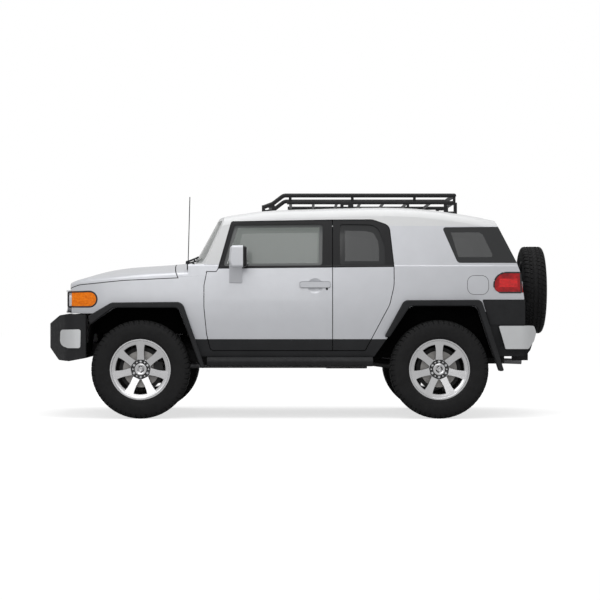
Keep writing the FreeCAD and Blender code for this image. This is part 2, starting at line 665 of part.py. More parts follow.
save("cowl_panel", cowl)

below_hood = FRONT_SHELL.cut(prism_y(grown(HOOD_ZONE, PANEL_GAP), -1100.0, 1100.0))
below_hood = below_hood.cut(prism_y(grown(COWL_ZONE, 0.5), -1100.0, 1100.0))
below_hood = below_hood.cut(FRONT_ARCH_CUT).cut(mirrored(FRONT_ARCH_CUT))
below_hood = below_hood.cut(box(1860.0, 2600.0, -1100.0, 1100.0, 400.0, BUMPER_TOP_Z))
below_hood = below_hood.cut(box(500.0, HOOD_REAR_X, -1100.0, 1100.0, 1320.0, 1700.0))
thin_zone = box(FENDER_FOOT_X - 10.0, 1012.0, -1100.0, 1100.0, 500.0, 1400.0).common(nose_layer(6.0))
below_hood = below_hood.cut(thin_zone).cut(DOORS_OPENING).cut(mirrored(DOORS_OPENING))
GRILLE = [(-400.0, 1000.0, 30.0), (-430.0, 1146.0, 30.0), (430.0, 1146.0, 30.0), (400.0, 1000.0, 30.0)]
HEADLAMP = [(432.0, 1006.0, 30.0), (452.0, 1150.0, 30.0), (792.0, 1150.0, 4.0), (792.0, 1006.0, 4.0)]
LAMP_DEPTH = 26.0
lamp_floor = nose_layer(LAMP_DEPTH)
lamp_back = nose_layer(LAMP_DEPTH - SEAT_GAP)
grille_hole = prism_x(GRILLE, 1950.0, 2300.0)
nose_space = box(1950.0, 2300.0, -1000.0, 1000.0, BUMPER_TOP_Z, 1200.0)
head_space = prism_x(grown(HEADLAMP, SEAT_GAP), 1950.0, 2300.0)
corner_space = prism_y(grown(CORNER_LAMP, SEAT_GAP), 792.0 + SEAT_GAP, 1100.0)
for space in (head_space, mirrored(head_space), corner_space, mirrored(corner_space)):
    below_hood = below_hood.cut(space.cut(lamp_floor))
below_hood = below_hood.cut(grille_hole)
SURROUND = [(-800.0, 954.0, 70.0), (-800.0, 1158.0, 70.0), (800.0, 1158.0, 70.0), (800.0, 954.0, 70.0)]
SURROUND_REACH = 36.0
SURROUND_BAND = 16.0
surround = prism_x(SURROUND, 1950.0, 2300.0).cut(prism_x(grown(SURROUND, -SURROUND_BAND), 1950.0, 2300.0))
surround = surround.common(ahead_of_nose(0.0)).cut(ahead_of_nose(SURROUND_REACH))
surround = surround.common(nose_space)
below_hood = below_hood.fuse(surround)
save("front_fenders", below_hood)
headlamp = FRONT_OUTER.common(prism_x(HEADLAMP, 1950.0, 2300.0)).cut(lamp_back)
corner_lamp = FRONT_OUTER.common(prism_y(CORNER_LAMP, 794.0, 1100.0)).cut(lamp_back)
save("headlamps", both_sides(headlamp))
save("corner_lamps", both_sides(corner_lamp))


def make_grille():
    """Surround and bars that fill the grille opening."""
    surround = prism_x(grown(GRILLE, -SEAT_GAP), 2050.0, 2300.0).cut(prism_x(grown(GRILLE, -18.0), 2000.0, 2350.0))
    for i in range(4):
        z = 1028.0 + i * 30.0
        surround = surround.fuse(box(2050.0, 2300.0, -405.0, 405.0, z - 5.0, z + 5.0))
    for i in range(5):
        y = (i - 2) * 150.0
        surround = surround.fuse(box(2050.0, 2300.0, y - 5.0, y + 5.0, 1010.0, 1140.0))
    return surround.common(nose_layer(2.0)).cut(nose_layer(SHELL)).common(prism_x(grown(GRILLE, -SEAT_GAP), 1950.0, 2350.0))


save("grille", make_grille())

# Hood, with gooseneck arms

hood = FRONT_SHELL.common(prism_y(HOOD_ZONE, -1100.0, 1100.0))
hood = hood.cut(box(HOOD_REAR_X - 120.0, HOOD_REAR_X + 16.0, -1100.0, 1100.0, 1200.0, 1500.0).common(nose_layer(6.0)))


def hood_arm(y):
    """Gooseneck arm from the hood's hinge pin down, forward and up to the panel."""
    points = [(0.0, 0.0), (8.0, -46.0), (66.0, -60.0), (122.0, -12.0)]
    arm = Part.makeCylinder(9.0, 12.0, Vector(HOOD_HINGE_X, y - 6.0, HOOD_HINGE_Z), Vector(0, 1, 0))
    for i in range(3):
        a = (HOOD_HINGE_X + points[i][0], HOOD_HINGE_Z + points[i][1])
        b = (HOOD_HINGE_X + points[i + 1][0], HOOD_HINGE_Z + points[i + 1][1])
        flat = bar(a, b, 6.0, 0.0, 12.0)
        flat.rotate(Vector(0, 0, 0), Vector(1, 0, 0), 90)
        flat.translate(Vector(0, y + 6.0, 0))
        arm = arm.fuse(flat)
    return arm.cut(Part.makeCylinder(HINGE_PIN + PIN_GAP, 40.0, Vector(HOOD_HINGE_X, y - 20.0, HOOD_HINGE_Z), Vector(0, 1, 0)))


for y in (-HOOD_HINGE_Y, HOOD_HINGE_Y):
    hood = hood.fuse(hood_arm(y))
save("hood", hood)

# Firewall with the front hinge pillars and the hood's hinge brackets

FIREWALL_X = DOOR_FRONT_X + 123.0
FIREWALL_THICK = 14.0
LINER_OUT = prism_y(grown(FRONT_ARCH, LINER_WALL), 445.0, 1100.0)
LINER_OUT_GAP = prism_y(grown(FRONT_ARCH, LINER_WALL + SEAT_GAP), 444.0, 1100.0)
fender_space = nose_layer(SHELL + SEAT_GAP)
firewall = box(FIREWALL_X, FIREWALL_X + FIREWALL_THICK, -1000.0, 1000.0, FLOOR_TOP_Z - 20.0, 1372.0)
firewall = firewall.common(fender_space)
PILLAR_Y = HINGE_Y - POCKET_DEPTH - 12.0
hinge_post = box(FRONT_HINGE_X + PILLAR_FACE, FIREWALL_X, PILLAR_Y, HINGE_Y + 8.0, FLOOR_TOP_Z - 20.0, 1278.0)
hinge_post = hinge_post.cut(box(FRONT_HINGE_X + PILLAR_FACE + 8.0, FIREWALL_X, PILLAR_Y + 10.0, HINGE_Y, 700.0, 1260.0))
kick_panel = box(DOOR_FRONT_X - LIP_STEP + 8.0, FRONT_HINGE_X + PILLAR_FACE, PILLAR_Y, PILLAR_Y + 12.0, FLOOR_TOP_Z - 6.0, 1278.0)
post = hinge_post.fuse(kick_panel).common(nose_layer(6.0 + SEAT_GAP).fuse(box(700.0, 900.0, 0.0, 850.0, 500.0, 1278.0)))
for height, reach in FRONT_HINGES:
    post = post.fuse(hinge_bracket(FRONT_HINGE_X, -1.0, height))
firewall = firewall.fuse(post).fuse(mirrored(post)).cut(LINER_OUT_GAP).cut(mirrored(LINER_OUT_GAP))
for y in (-HOOD_HINGE_Y, HOOD_HINGE_Y):
    pin = rod((HOOD_HINGE_X, y - 24.0, HOOD_HINGE_Z), (HOOD_HINGE_X, y + 24.0, HOOD_HINGE_Z), HINGE_PIN)
    for side_y0 in (y - 24.0, y + 12.0):
        ear = box(FIREWALL_X, HOOD_HINGE_X + 9.0, side_y0, side_y0 + 12.0, HOOD_HINGE_Z - 34.0, HOOD_HINGE_Z + 9.0)
        pin = pin.fuse(ear)
    firewall = firewall.fuse(pin)
TUNNEL_BORE = [(-138.0, 560.0), (-138.0, 640.0), (-110.0, 752.0, 50.0), (110.0, 752.0, 50.0), (138.0, 640.0), (138.0, 560.0)]
tunnel_bore = prism_x(TUNNEL_BORE, 160.0, FIREWALL_X + 40.0)
firewall = firewall.cut(cowl).cut(tunnel_bore)
save("firewall", firewall)

# Floor, rear panel and wheel liners

LOAD_FLOOR_Z = 828.0
RISER_X = -604.0
FLOOR_SHEET = 24.0
REAR_PANEL_HALF = 640.0
floor_side = [
    (FIREWALL_X, FLOOR_TOP_Z - 30.0), (FIREWALL_X, FLOOR_TOP_Z - 6.0), (RISER_X, FLOOR_TOP_Z - 6.0),
    (RISER_X - 30.0, LOAD_FLOOR_Z), (TAIL_X - 40.0, LOAD_FLOOR_Z),
    (TAIL_X - 40.0, LOAD_FLOOR_Z - FLOOR_SHEET), (RISER_X - 54.0, LOAD_FLOOR_Z - FLOOR_SHEET),
    (RISER_X - 26.0, FLOOR_TOP_Z - 30.0),
]
floor = prism_y(floor_side, -1000.0, 1000.0)
floor = floor.common(cabin_base(WALL + SEAT_GAP, SILL_BOTTOM_Z).fuse(box(600.0, 1200.0, -780.0, 780.0, 500.0, 700.0)))
middle_band = box(-2300.0, -1500.0, -REAR_PANEL_HALF, REAR_PANEL_HALF, 500.0, 1000.0)
floor = floor.cut(behind_tail(SHELL + SEAT_GAP)).cut(behind_tail(WALL + SEAT_GAP).cut(middle_band))
tunnel = prism_x(grown(TUNNEL_BORE, 12.0), 148.0, FIREWALL_X).common(box(0.0, 1200.0, -200.0, 200.0, FLOOR_TOP_Z - 30.0, 900.0))
floor = floor.fuse(tunnel).cut(tunnel_bore)
REAR_LINER_OUT = prism_y(grown(REAR_ARCH, LINER_WALL), LINER_INNER_Y - LINER_WALL, 1000.0)
rear_liner = REAR_LINER_OUT.cut(prism_y(REAR_ARCH, LINER_INNER_Y, 1100.0))
rear_liner = rear_liner.common(cabin_base(WALL + SEAT_GAP, 540.0)).common(box(-2300.0, 0.0, 0.0, 1000.0, 540.0, 1200.0))
floor = floor.cut(prism_y(grown(REAR_ARCH, LINER_WALL + SEAT_GAP), LINER_INNER_Y - LINER_WALL - SEAT_GAP, 1000.0))
floor = floor.cut(mirrored(prism_y(grown(REAR_ARCH, LINER_WALL + SEAT_GAP), LINER_INNER_Y - LINER_WALL - SEAT_GAP, 1000.0)))
floor = floor.cut(LINER_OUT_GAP).cut(mirrored(LINER_OUT_GAP))
floor = floor.cut(firewall)
save("floor_pan", floor)

front_liner = LINER_OUT.cut(FRONT_ARCH_CUT).common(fender_space)
front_liner = front_liner.common(box(0.0, 2000.0, 450.0, 1000.0, 470.0, 1200.0))
front_liner = front_liner.cut(box(1850.0, 2400.0, 0.0, 1100.0, 400.0, 600.0))
apron = prism_y(grown(FRONT_ARCH, LINER_WALL), 450.0, 460.0).common(fender_space)
front_liner = front_liner.fuse(apron.common(box(0.0, 2000.0, 450.0, 460.0, 760.0, 1200.0)))
save("wheel_liners", Part.makeCompound([rear_liner, mirrored(rear_liner), front_liner, mirrored(front_liner)]))

rear_panel = BASE_OUT.common(behind_tail(SHELL))
rear_panel = rear_panel.common(box(TAIL_X - 100.0, TAIL_X + 110.0, -REAR_PANEL_HALF + SEAT_GAP, REAR_PANEL_HALF - SEAT_GAP, 500.0, 1000.0))
rear_panel = rear_panel.cut(prism_x(grown(tailgate_outline(), PANEL_GAP), TAIL_X - 200.0, TAIL_X + 400.0))
save("rear_panel", rear_panel)

# Tailgate

GATE_HINGE_X = TAIL_X + 5.0
GATE_HINGE_Y = -(TAILGATE_HALF + 20.0)
GATE_HINGES = (985.0, 1352.0)
GATE_STEP = 22.0
GATE_DEPTH = 80.0
BARREL = 11.0
STRAP_HALF = 7.0
TAIL_FORM = BASE_OUT.fuse(GLASS_OUT).common(box(-2300.0, -1500.0, -1000.0, 1000.0, 500.0, 2000.0))


def gate_prism(corners, gap):
    """A rear-view outline grown by gap, long enough to pass through the tail."""
    return prism_x(grown(corners, gap), TAIL_X - 200.0, TAIL_X + 600.0)


def strap_block(dy0, dy1, pad0, pad1, z0, z1):
    """A hinge strap beside the barrel with a pad that stands on the tail's surface."""
    strap = box(-STRAP_HALF, STRAP_HALF, dy0, dy1, z0, z1)
    pad = box(0.0, 90.0, pad0, pad1, z0, z1)
    block = strap.fuse(pad)
    block.translate(Vector(GATE_HINGE_X, GATE_HINGE_Y, 0))
    return block.cut(TAIL_FORM)


def gate_hinge_moving(z):
    """The gate's barrel and strap at one height."""
    barrel = Part.makeCylinder(BARREL, 40.0, Vector(GATE_HINGE_X, GATE_HINGE_Y, z - 20.0))
    leaf = barrel.fuse(strap_block(0.0, 130.0, 26.0, 118.0, z - 20.0, z + 20.0))
    return leaf.cut(Part.makeCylinder(HINGE_PIN + PIN_GAP, 80.0, Vector(GATE_HINGE_X, GATE_HINGE_Y, z - 40.0)))


def gate_hinge_fixed(z):
    """The body's two ears and pin at one height."""
    fixed = Part.makeCylinder(HINGE_PIN, 80.0, Vector(GATE_HINGE_X, GATE_HINGE_Y, z - 40.0))
    for z0 in (z - 40.0, z + 20.0 + SEAT_GAP):
        ear = Part.makeCylinder(BARREL, 20.0 - SEAT_GAP, Vector(GATE_HINGE_X, GATE_HINGE_Y, z0))
        fixed = fixed.fuse(ear).fuse(strap_block(-90.0, 0.0, -84.0, -26.0, z0, z0 + 20.0 - SEAT_GAP))
    plate = box(GATE_HINGE_X, GATE_HINGE_X + 90.0, GATE_HINGE_Y - 84.0, GATE_HINGE_Y - 26.0, z - 40.0, z + 40.0)
    return fixed.fuse(plate.cut(TAIL_FORM))


gate_all = TAIL_FORM.common(gate_prism(tailgate_outline(), 0.0))
gate_skin = gate_all.common(behind_tail(LIP))
gate_core = TAIL_FORM.common(gate_prism(tailgate_outline(), -GATE_STEP)).common(behind_tail(GATE_DEPTH))
tailgate = gate_skin.fuse(gate_core)
tailgate = tailgate.cut(gate_prism(REAR_GLASS, 0.0)).cut(gate_prism(REAR_GLASS, 30.0).common(behind_tail(7.0)))
rear_glass = TAIL_FORM.common(gate_prism(REAR_GLASS, 30.0 - SEAT_GAP)).common(behind_tail(7.0 - SEAT_GAP))
hinges_fixed = gate_hinge_fixed(GATE_HINGES[0]).fuse(gate_hinge_fixed(GATE_HINGES[1]))
for z in GATE_HINGES:
    tailgate = tailgate.fuse(gate_hinge_moving(z))

# Spare wheel on the tailgate

SPARE_Z = 1163.0
SPARE_RADIUS = 410.0
SPARE_WIDTH = 225.0
SPARE_MIDDLE_X = TAIL_X - 240.0 + SPARE_WIDTH / 2


def tyre_profile(radius, rim, width):
    """Half section of a tyre as (distance along the axle, radius) points."""
    half = width / 2
    bead = rim_half(width) - 8.5
    return [
        (-bead, rim), (-bead - 13.5, rim + 9.0), (-half + 6.0, rim + 32.0), (-half, (radius + rim) / 2),
        (-half + 14.0, radius - 46.0), (-half + 34.0, radius - 12.0), (-half + 62.0, radius),
        (half - 62.0, radius), (half - 34.0, radius - 12.0), (half - 14.0, radius - 46.0),
        (half, (radius + rim) / 2), (half - 6.0, rim + 32.0), (bead + 13.5, rim + 9.0), (bead, rim),
        (bead - 3.5, rim + 10.0), (0.0, rim + 14.0), (-bead + 3.5, rim + 10.0),
    ]


def rim_half(width):
    """Half the distance between a tyre's beads."""
    return width * RIM_WIDTH / TYRE_WIDTH / 2


def revolved_y(profile, centre):
    """A closed (along Y, radius) profile revolved about the axle's line through centre."""
    wire = Part.makePolygon([Vector(0, u, r) for u, r in profile] + [Vector(0, profile[0][0], profile[0][1])])
    solid = Part.Face(wire).revolve(Vector(0, 0, 0), Vector(0, 1, 0), 360)
    solid.translate(centre)
    return solid


def make_tyre(radius, rim, width, centre):
    """A plain tyre ring."""
    return revolved_y(tyre_profile(radius, rim, width), centre)


HUB_RADIUS = 94.0
CAP_RADIUS = 53.0
WINDOW_RADIUS = RIM_RADIUS - 38.0
HUB_BORE = 30.3
HUB_DEPTH = 24.0
DISC_FACE = 23.0


def make_rim(rim, width, centre, outward):
    """An alloy rim: flanged barrel, hub and tapered spokes; outward is +1 or -1 along Y."""
    half = rim_half(width)
    wall = RIM_WALL
    profile = [
        (-half - 5.0, rim + 8.0), (-half + 8.0, rim - 0.4), (-half + 40.0, rim - 2.0), (-half + 62.0, rim - 26.0),
        (half - 62.0, rim - 26.0), (half - 40.0, rim - 2.0), (half - 8.0, rim - 0.4), (half + 5.0, rim + 8.0),
        (half + 5.0, rim - 3.0), (half - 7.0, rim - 9.0), (half - 9.0, rim - 22.0), (half - 15.0, WINDOW_RADIUS),
        (half - 30.0, WINDOW_RADIUS - 4.0), (half - 60.0, rim - 26.0 - wall),
        (-half + 60.0, rim - 26.0 - wall), (-half + 30.0, rim - wall - 4.0), (-half - 5.0, rim - wall),
    ]
    body = revolved_y(profile, Vector(0, 0, 0))
    hub = [(DISC_FACE, HUB_BORE), (DISC_FACE, HUB_RADIUS), (62.0, HUB_RADIUS), (66.0, HUB_RADIUS - 5.0),
           (50.0, HUB_RADIUS - 9.0), (50.0, CAP_RADIUS + 3.0), (78.0, CAP_RADIUS), (80.0, CAP_RADIUS - 4.0),
           (80.0, 0.0), (66.0, 0.0), (66.0, HUB_BORE)]
    body = body.fuse(revolved_y(hub, Vector(0, 0, 0)))
    reach = rim - 8.0
    for i in range(SPOKE_COUNT):
        spoke = prism_y([
            (-32.0, HUB_RADIUS - 7.0), (-29.0, 150.0), (-33.0, 196.0), (-46.0, reach),
            (46.0, reach), (33.0, 196.0), (29.0, 150.0), (32.0, HUB_RADIUS - 7.0),
        ], 28.0, half - 8.0)
        slope = prism_x([(62.0, 0.0), (half - 8.0, reach - 10.0), (half + 40.0, reach + 60.0), (half + 40.0, 0.0)], -60.0, 60.0)
        back = prism_x([(20.0, HUB_RADIUS), (half - 62.0, rim - 60.0), (0.0, rim), (0.0, HUB_RADIUS)], -60.0, 60.0)
        spoke = spoke.cut(slope).cut(back)
        spoke.rotate(Vector(0, 0, 0), Vector(0, 1, 0), i * 360.0 / SPOKE_COUNT)
        body = body.fuse(spoke)
    if outward < 0:
        body = body.mirror(Vector(0, 0, 0), Vector(0, 1, 0))
    body.translate(centre)
    return body


spare_tyre = make_tyre(SPARE_RADIUS, RIM_RADIUS, SPARE_WIDTH, Vector(0, 0, 0))
spare_rim = make_rim(RIM_RADIUS, SPARE_WIDTH, Vector(0, 0, 0), 1)
for piece in (spare_tyre, spare_rim):
    piece.rotate(Vector(0, 0, 0), Vector(0, 0, 1), 90)
    piece.translate(Vector(SPARE_MIDDLE_X, 0, SPARE_Z))
carrier_x = SPARE_MIDDLE_X - DISC_FACE
carrier = rod((carrier_x + SEAT_GAP, 0, SPARE_Z), (TAIL_X + 20.0, 0, SPARE_Z), 84.0)
carrier = carrier.fuse(rod((carrier_x - 42.0, 0, SPARE_Z), (TAIL_X + 20.0, 0, SPARE_Z), HUB_BORE - SEAT_GAP))
tailgate = tailgate.fuse(carrier.cut(TAIL_FORM))
save("tailgate", tailgate)
save("tailgate_glass", rear_glass)
save("spare_tyre", spare_tyre)
save("spare_rim", spare_rim)
save("body_side_right", mirrored(side).fuse(hinges_fixed))

# Road wheels

def wheel_centre(x, hand):
    """Centre of a road wheel; hand is +1 on the left and -1 on the right."""
    return Vector(x, hand * WHEEL_Y, AXLE_Z)


for place, x in (("front", FRONT_AXLE_X), ("rear", REAR_AXLE_X)):
    for side_name, hand in (("left", 1), ("right", -1)):
        centre = wheel_centre(x, hand)
        save(f"tyre_{place}_{side_name}", make_tyre(TYRE_RADIUS, RIM_RADIUS, TYRE_WIDTH, centre))
        save(f"rim_{place}_{side_name}", make_rim(RIM_RADIUS, TYRE_WIDTH, centre, hand))

# Steering knuckles

MOUNT_Y = WHEEL_Y + DISC_FACE
BRAKE_RADIUS = 165.0
SHIELD_RADIUS = 200.0
BALL_LOW_Z = AXLE_Z - 190.0
BALL_HIGH_Z = AXLE_Z + 190.0
BALL_PIN = 9.0


def brake_and_hub(x):
    """Disc, hub flange and spindle that carry a wheel on the left side."""
    hub = rod((x, MOUNT_Y - 50.0, AXLE_Z), (x, MOUNT_Y - SEAT_GAP, AXLE_Z), 70.0)
    disc = rod((x, MOUNT_Y - 44.0, AXLE_Z), (x, MOUNT_Y - 22.0, AXLE_Z), BRAKE_RADIUS)
    spindle = rod((x, MOUNT_Y - 50.0, AXLE_Z), (x, MOUNT_Y + 40.0, AXLE_Z), HUB_BORE - SEAT_GAP)
    shield = rod((x, MOUNT_Y - 53.0, AXLE_Z), (x, MOUNT_Y - 49.0, AXLE_Z), SHIELD_RADIUS)
    for z in (BALL_LOW_Z, BALL_HIGH_Z):
        shield = shield.cut(rod((x, STEER_AXIS_Y, z - 40.0), (x, STEER_AXIS_Y, z + 40.0), 36.0))
    return hub.fuse(disc).fuse(spindle).fuse(shield)


def make_knuckle():
    """Left knuckle: upright between its ball pins, caliper, drive cup, disc and hub."""
    x = FRONT_AXLE_X
    upright = prism_x([(STEER_AXIS_Y - 20.0, BALL_LOW_Z + 22.0), (STEER_AXIS_Y - 20.0, BALL_HIGH_Z - 22.0),
                       (STEER_AXIS_Y + 14.0, BALL_HIGH_Z - 22.0), (STEER_AXIS_Y + 14.0, BALL_LOW_Z + 22.0)], x - 32.0, x + 32.0)
    bearing = rod((x, STEER_AXIS_Y - 20.0, AXLE_Z), (x, MOUNT_Y - 48.0, AXLE_Z), 62.0)
    cup = rod((x, STEER_AXIS_Y - 54.0, AXLE_Z), (x, STEER_AXIS_Y - 18.0, AXLE_Z), 56.0)
    cup = cup.cut(rod((x, STEER_AXIS_Y - 60.0, AXLE_Z), (x, STEER_AXIS_Y - 20.0, AXLE_Z), 47.0))
    low_pin = rod((x, STEER_AXIS_Y, BALL_LOW_Z - 14.0), (x, STEER_AXIS_Y, BALL_LOW_Z + 30.0), BALL_PIN)
    high_pin = rod((x, STEER_AXIS_Y, BALL_HIGH_Z - 30.0), (x, STEER_AXIS_Y, BALL_HIGH_Z + 14.0), BALL_PIN)
    caliper = box(x - 196.0, x - 112.0, MOUNT_Y - 66.0, MOUNT_Y - 8.0, AXLE_Z - 66.0, AXLE_Z + 66.0)
    caliper = caliper.cut(rod((x, MOUNT_Y - 90.0, AXLE_Z), (x, MOUNT_Y + 10.0, AXLE_Z), 108.0))
    bracket = box(x - 125.0, x - 20.0, STEER_AXIS_Y - 6.0, STEER_AXIS_Y + 10.0, AXLE_Z - 40.0, AXLE_Z + 40.0)
    arm = bar((x - 20.0, STEER_AXIS_Y - 4.0), (x - 120.0, STEER_AXIS_Y - 40.0), 12.0, AXLE_Z - 90.0, AXLE_Z - 66.0)
    knuckle = upright.fuse(bearing).fuse(cup).fuse(low_pin).fuse(high_pin)
    for piece in (caliper, bracket, arm, brake_and_hub(x)):
        knuckle = knuckle.fuse(piece)
    return knuckle


knuckle = make_knuckle()
save("knuckle_left", knuckle)
save("knuckle_right", mirrored(knuckle))

# Ladder frame

RAIL_Y = 405.0
RAIL_HALF = 35.0
RAIL_LINE = [(2140.0, 620.0), (1960.0, 620.0), (1700.0, 620.0), (1180.0, 620.0), (900.0, 520.0), (-620.0, 520.0),
             (-880.0, 660.0), (-1600.0, 660.0), (-1760.0, 630.0), (-2000.0, 630.0)]
RAIL_DEPTH = 52.0
rail_side = [(x, z + RAIL_DEPTH, 30.0) for x, z in RAIL_LINE] + [(x, z - RAIL_DEPTH, 30.0) for x, z in reversed(RAIL_LINE)]
rail_side = [(x, z, 0.0 if i in (0, 9, 10, 19) else r) for i, (x, z, r) in enumerate(rail_side)]
rail = prism_y(rail_side, RAIL_Y - RAIL_HALF, RAIL_Y + RAIL_HALF)
frame = rail.fuse(mirrored(rail))
CROSS_PLACES = ((1900.0, 620.0), (420.0, 505.0), (-940.0, 660.0), (-1720.0, 640.0), (-1975.0, 630.0))
for x, z in CROSS_PLACES:
    frame = frame.fuse(box(x - 28.0, x + 28.0, -RAIL_Y, RAIL_Y, z - 30.0, z + 30.0))
frame = frame.fuse(box(-450.0, -390.0, -RAIL_Y - RAIL_HALF, RAIL_Y + RAIL_HALF, 571.0, 600.0))
ARM_BAR_Z = 405.0
for x in (FRONT_AXLE_X - 128.0, FRONT_AXLE_X + 128.0):
    frame = frame.fuse(box(x - 17.0, x + 17.0, -RAIL_Y, RAIL_Y, ARM_BAR_Z - 25.0, ARM_BAR_Z + 25.0))
    for hand in (-1.0, 1.0):
        y = hand * (RAIL_Y - 17.0)
        frame = frame.fuse(box(x - 17.0, x + 17.0, y - 14.0, y + 14.0, ARM_BAR_Z, 600.0))
for x in (760.0, 150.0, -480.0):
    for hand in (-1.0, 1.0):
        y0, y1 = sorted((hand * RAIL_Y, hand * 640.0))
        frame = frame.fuse(box(x - 30.0, x + 30.0, y0, y1, 520.0, 556.0))
        puck = rod((x, hand * 600.0, 550.0), (x, hand * 600.0, FLOOR_TOP_Z - 34.0 - SEAT_GAP), 36.0)
        frame = frame.fuse(puck)
save("chassis_frame", frame)

# Axles, suspension and drive

axle_tube = rod((REAR_AXLE_X, -MOUNT_Y + 46.0, AXLE_Z), (REAR_AXLE_X, MOUNT_Y - 46.0, AXLE_Z), 40.0)
housing = Part.makeSphere(128.0, Vector(REAR_AXLE_X, 0.0, AXLE_Z)).common(box(-2000.0, 0.0, -105.0, 105.0, 200.0, 700.0))
nose_piece = rod((REAR_AXLE_X, 0.0, AXLE_Z + 6.0), (REAR_AXLE_X + 190.0, 0.0, AXLE_Z + 16.0), 52.0)
rear_axle = axle_tube.fuse(housing).fuse(nose_piece)
rear_axle = rear_axle.fuse(brake_and_hub(REAR_AXLE_X)).fuse(mirrored(brake_and_hub(REAR_AXLE_X)))
SPRING_RADIUS = 54.0


def coil_body(base, top, radius):
    """A spring drawn as a ribbed sleeve between its two seats."""
    base, top = Vector(*base), Vector(*top)
    length = (top - base).Length
    turns = 5
    pitch = length / turns
    points = [(0.0, 0.0), (radius, 0.0)]
    for i in range(turns):
        points.append((radius, (i + 0.35) * pitch))
        points.append((radius - 16.0, (i + 0.65) * pitch))
    points += [(radius, length), (0.0, length)]
    wire = Part.makePolygon([Vector(r, 0, z) for r, z in points] + [Vector(0, 0, 0)])
    solid = Part.Face(wire).revolve(Vector(0, 0, 0), Vector(0, 0, 1), 360)
    solid.Placement = FreeCAD.Placement(base, FreeCAD.Rotation(Vector(0, 0, 1), top - base))
    return solid


links = []
for hand in (-1.0, 1.0):
    seat = rod((REAR_AXLE_X, hand * RAIL_Y, AXLE_Z + 30.0), (REAR_AXLE_X, hand * RAIL_Y, AXLE_Z + 52.0), 64.0)
    coil = coil_body((REAR_AXLE_X, hand * RAIL_Y, AXLE_Z + 50.0), (REAR_AXLE_X, hand * RAIL_Y, 608.0 - SEAT_GAP), SPRING_RADIUS)
    shock = rod((REAR_AXLE_X - 70.0, hand * 500.0, AXLE_Z - 30.0), (REAR_AXLE_X - 130.0, hand * 500.0, 690.0), 30.0)
    foot = box(REAR_AXLE_X - 110.0, REAR_AXLE_X, hand * 500.0 - 22.0, hand * 500.0 + 22.0, AXLE_Z - 50.0, AXLE_Z - 4.0)
    top_pin = rod((REAR_AXLE_X - 128.0, hand * (RAIL_Y + RAIL_HALF + SEAT_GAP), 680.0), (REAR_AXLE_X - 128.0, hand * 520.0, 680.0), 12.0)
    link = rod((REAR_AXLE_X + 20.0, hand * 560.0, AXLE_Z - 36.0), (-560.0, hand * 490.0, 500.0), 24.0)
    eye = rod((-560.0, hand * (RAIL_Y + RAIL_HALF + SEAT_GAP), 500.0), (-560.0, hand * 520.0, 500.0), 30.0)
    for piece in (seat, coil, shock, foot, top_pin, link, eye):
        rear_axle = rear_axle.fuse(piece)
save("rear_axle", rear_axle)

arms = None
for hand in (1.0, -1.0):
    low_eye = rod((FRONT_AXLE_X, hand * STEER_AXIS_Y, BALL_LOW_Z - 12.0), (FRONT_AXLE_X, hand * STEER_AXIS_Y, BALL_LOW_Z + 12.0), 24.0)
    high_eye = rod((FRONT_AXLE_X, hand * STEER_AXIS_Y, BALL_HIGH_Z - 12.0), (FRONT_AXLE_X, hand * STEER_AXIS_Y, BALL_HIGH_Z + 12.0), 22.0)
    group = low_eye.fuse(high_eye)
    for dx in (-128.0, 128.0):
        inner_end = (FRONT_AXLE_X + dx, hand * (RAIL_Y + SEAT_GAP), ARM_BAR_Z)
        group = group.fuse(rod(inner_end, (FRONT_AXLE_X, hand * STEER_AXIS_Y, BALL_LOW_Z), 17.0))
    for dx in (-62.0, 62.0):
        start = (FRONT_AXLE_X + dx, hand * (RAIL_Y + RAIL_HALF + SEAT_GAP), 620.0)
        group = group.fuse(rod(start, (FRONT_AXLE_X, hand * STEER_AXIS_Y, BALL_HIGH_Z), 13.0))
    base = (FRONT_AXLE_X + 70.0, hand * 585.0, 335.0)
    head = (FRONT_AXLE_X + 84.0, hand * 500.0, 740.0)
    group = group.fuse(rod(base, head, 22.0))
    mid = tuple(base[i] + (head[i] - base[i]) * 0.36 for i in range(3))
    group = group.fuse(coil_body(mid, head, 46.0))
    group = group.fuse(box(FRONT_AXLE_X + 44.0, FRONT_AXLE_X + 124.0, min(hand * (RAIL_Y + RAIL_HALF + SEAT_GAP), hand * 545.0), max(hand * (RAIL_Y + RAIL_HALF + SEAT_GAP), hand * 545.0), 730.0, 744.0))
    group = group.fuse(box(FRONT_AXLE_X + 44.0, FRONT_AXLE_X + 124.0, min(hand * (RAIL_Y + RAIL_HALF + SEAT_GAP), hand * 452.0), max(hand * (RAIL_Y + RAIL_HALF + SEAT_GAP), hand * 452.0), 600.0, 744.0))
    for z, pin_radius in ((BALL_LOW_Z, BALL_PIN + PIN_GAP), (BALL_HIGH_Z, BALL_PIN + PIN_GAP)):
        group = group.cut(rod((FRONT_AXLE_X, hand * STEER_AXIS_Y, z - 40.0), (FRONT_AXLE_X, hand * STEER_AXIS_Y, z + 40.0), pin_radius))
    group = group.cut(rod((FRONT_AXLE_X, hand * STEER_AXIS_Y, BALL_LOW_Z + 12.0), (FRONT_AXLE_X, hand * STEER_AXIS_Y, BALL_LOW_Z + 40.0), 40.0))
    group = group.cut(rod((FRONT_AXLE_X, hand * STEER_AXIS_Y, BALL_HIGH_Z - 40.0), (FRONT_AXLE_X, hand * STEER_AXIS_Y, BALL_HIGH_Z - 12.0), 40.0))
    group = group.cut(frame)
    arms = group if arms is None else arms.fuse(group)
diff = rod((FRONT_AXLE_X, -60.0, AXLE_Z), (FRONT_AXLE_X, 160.0, AXLE_Z), 110.0)
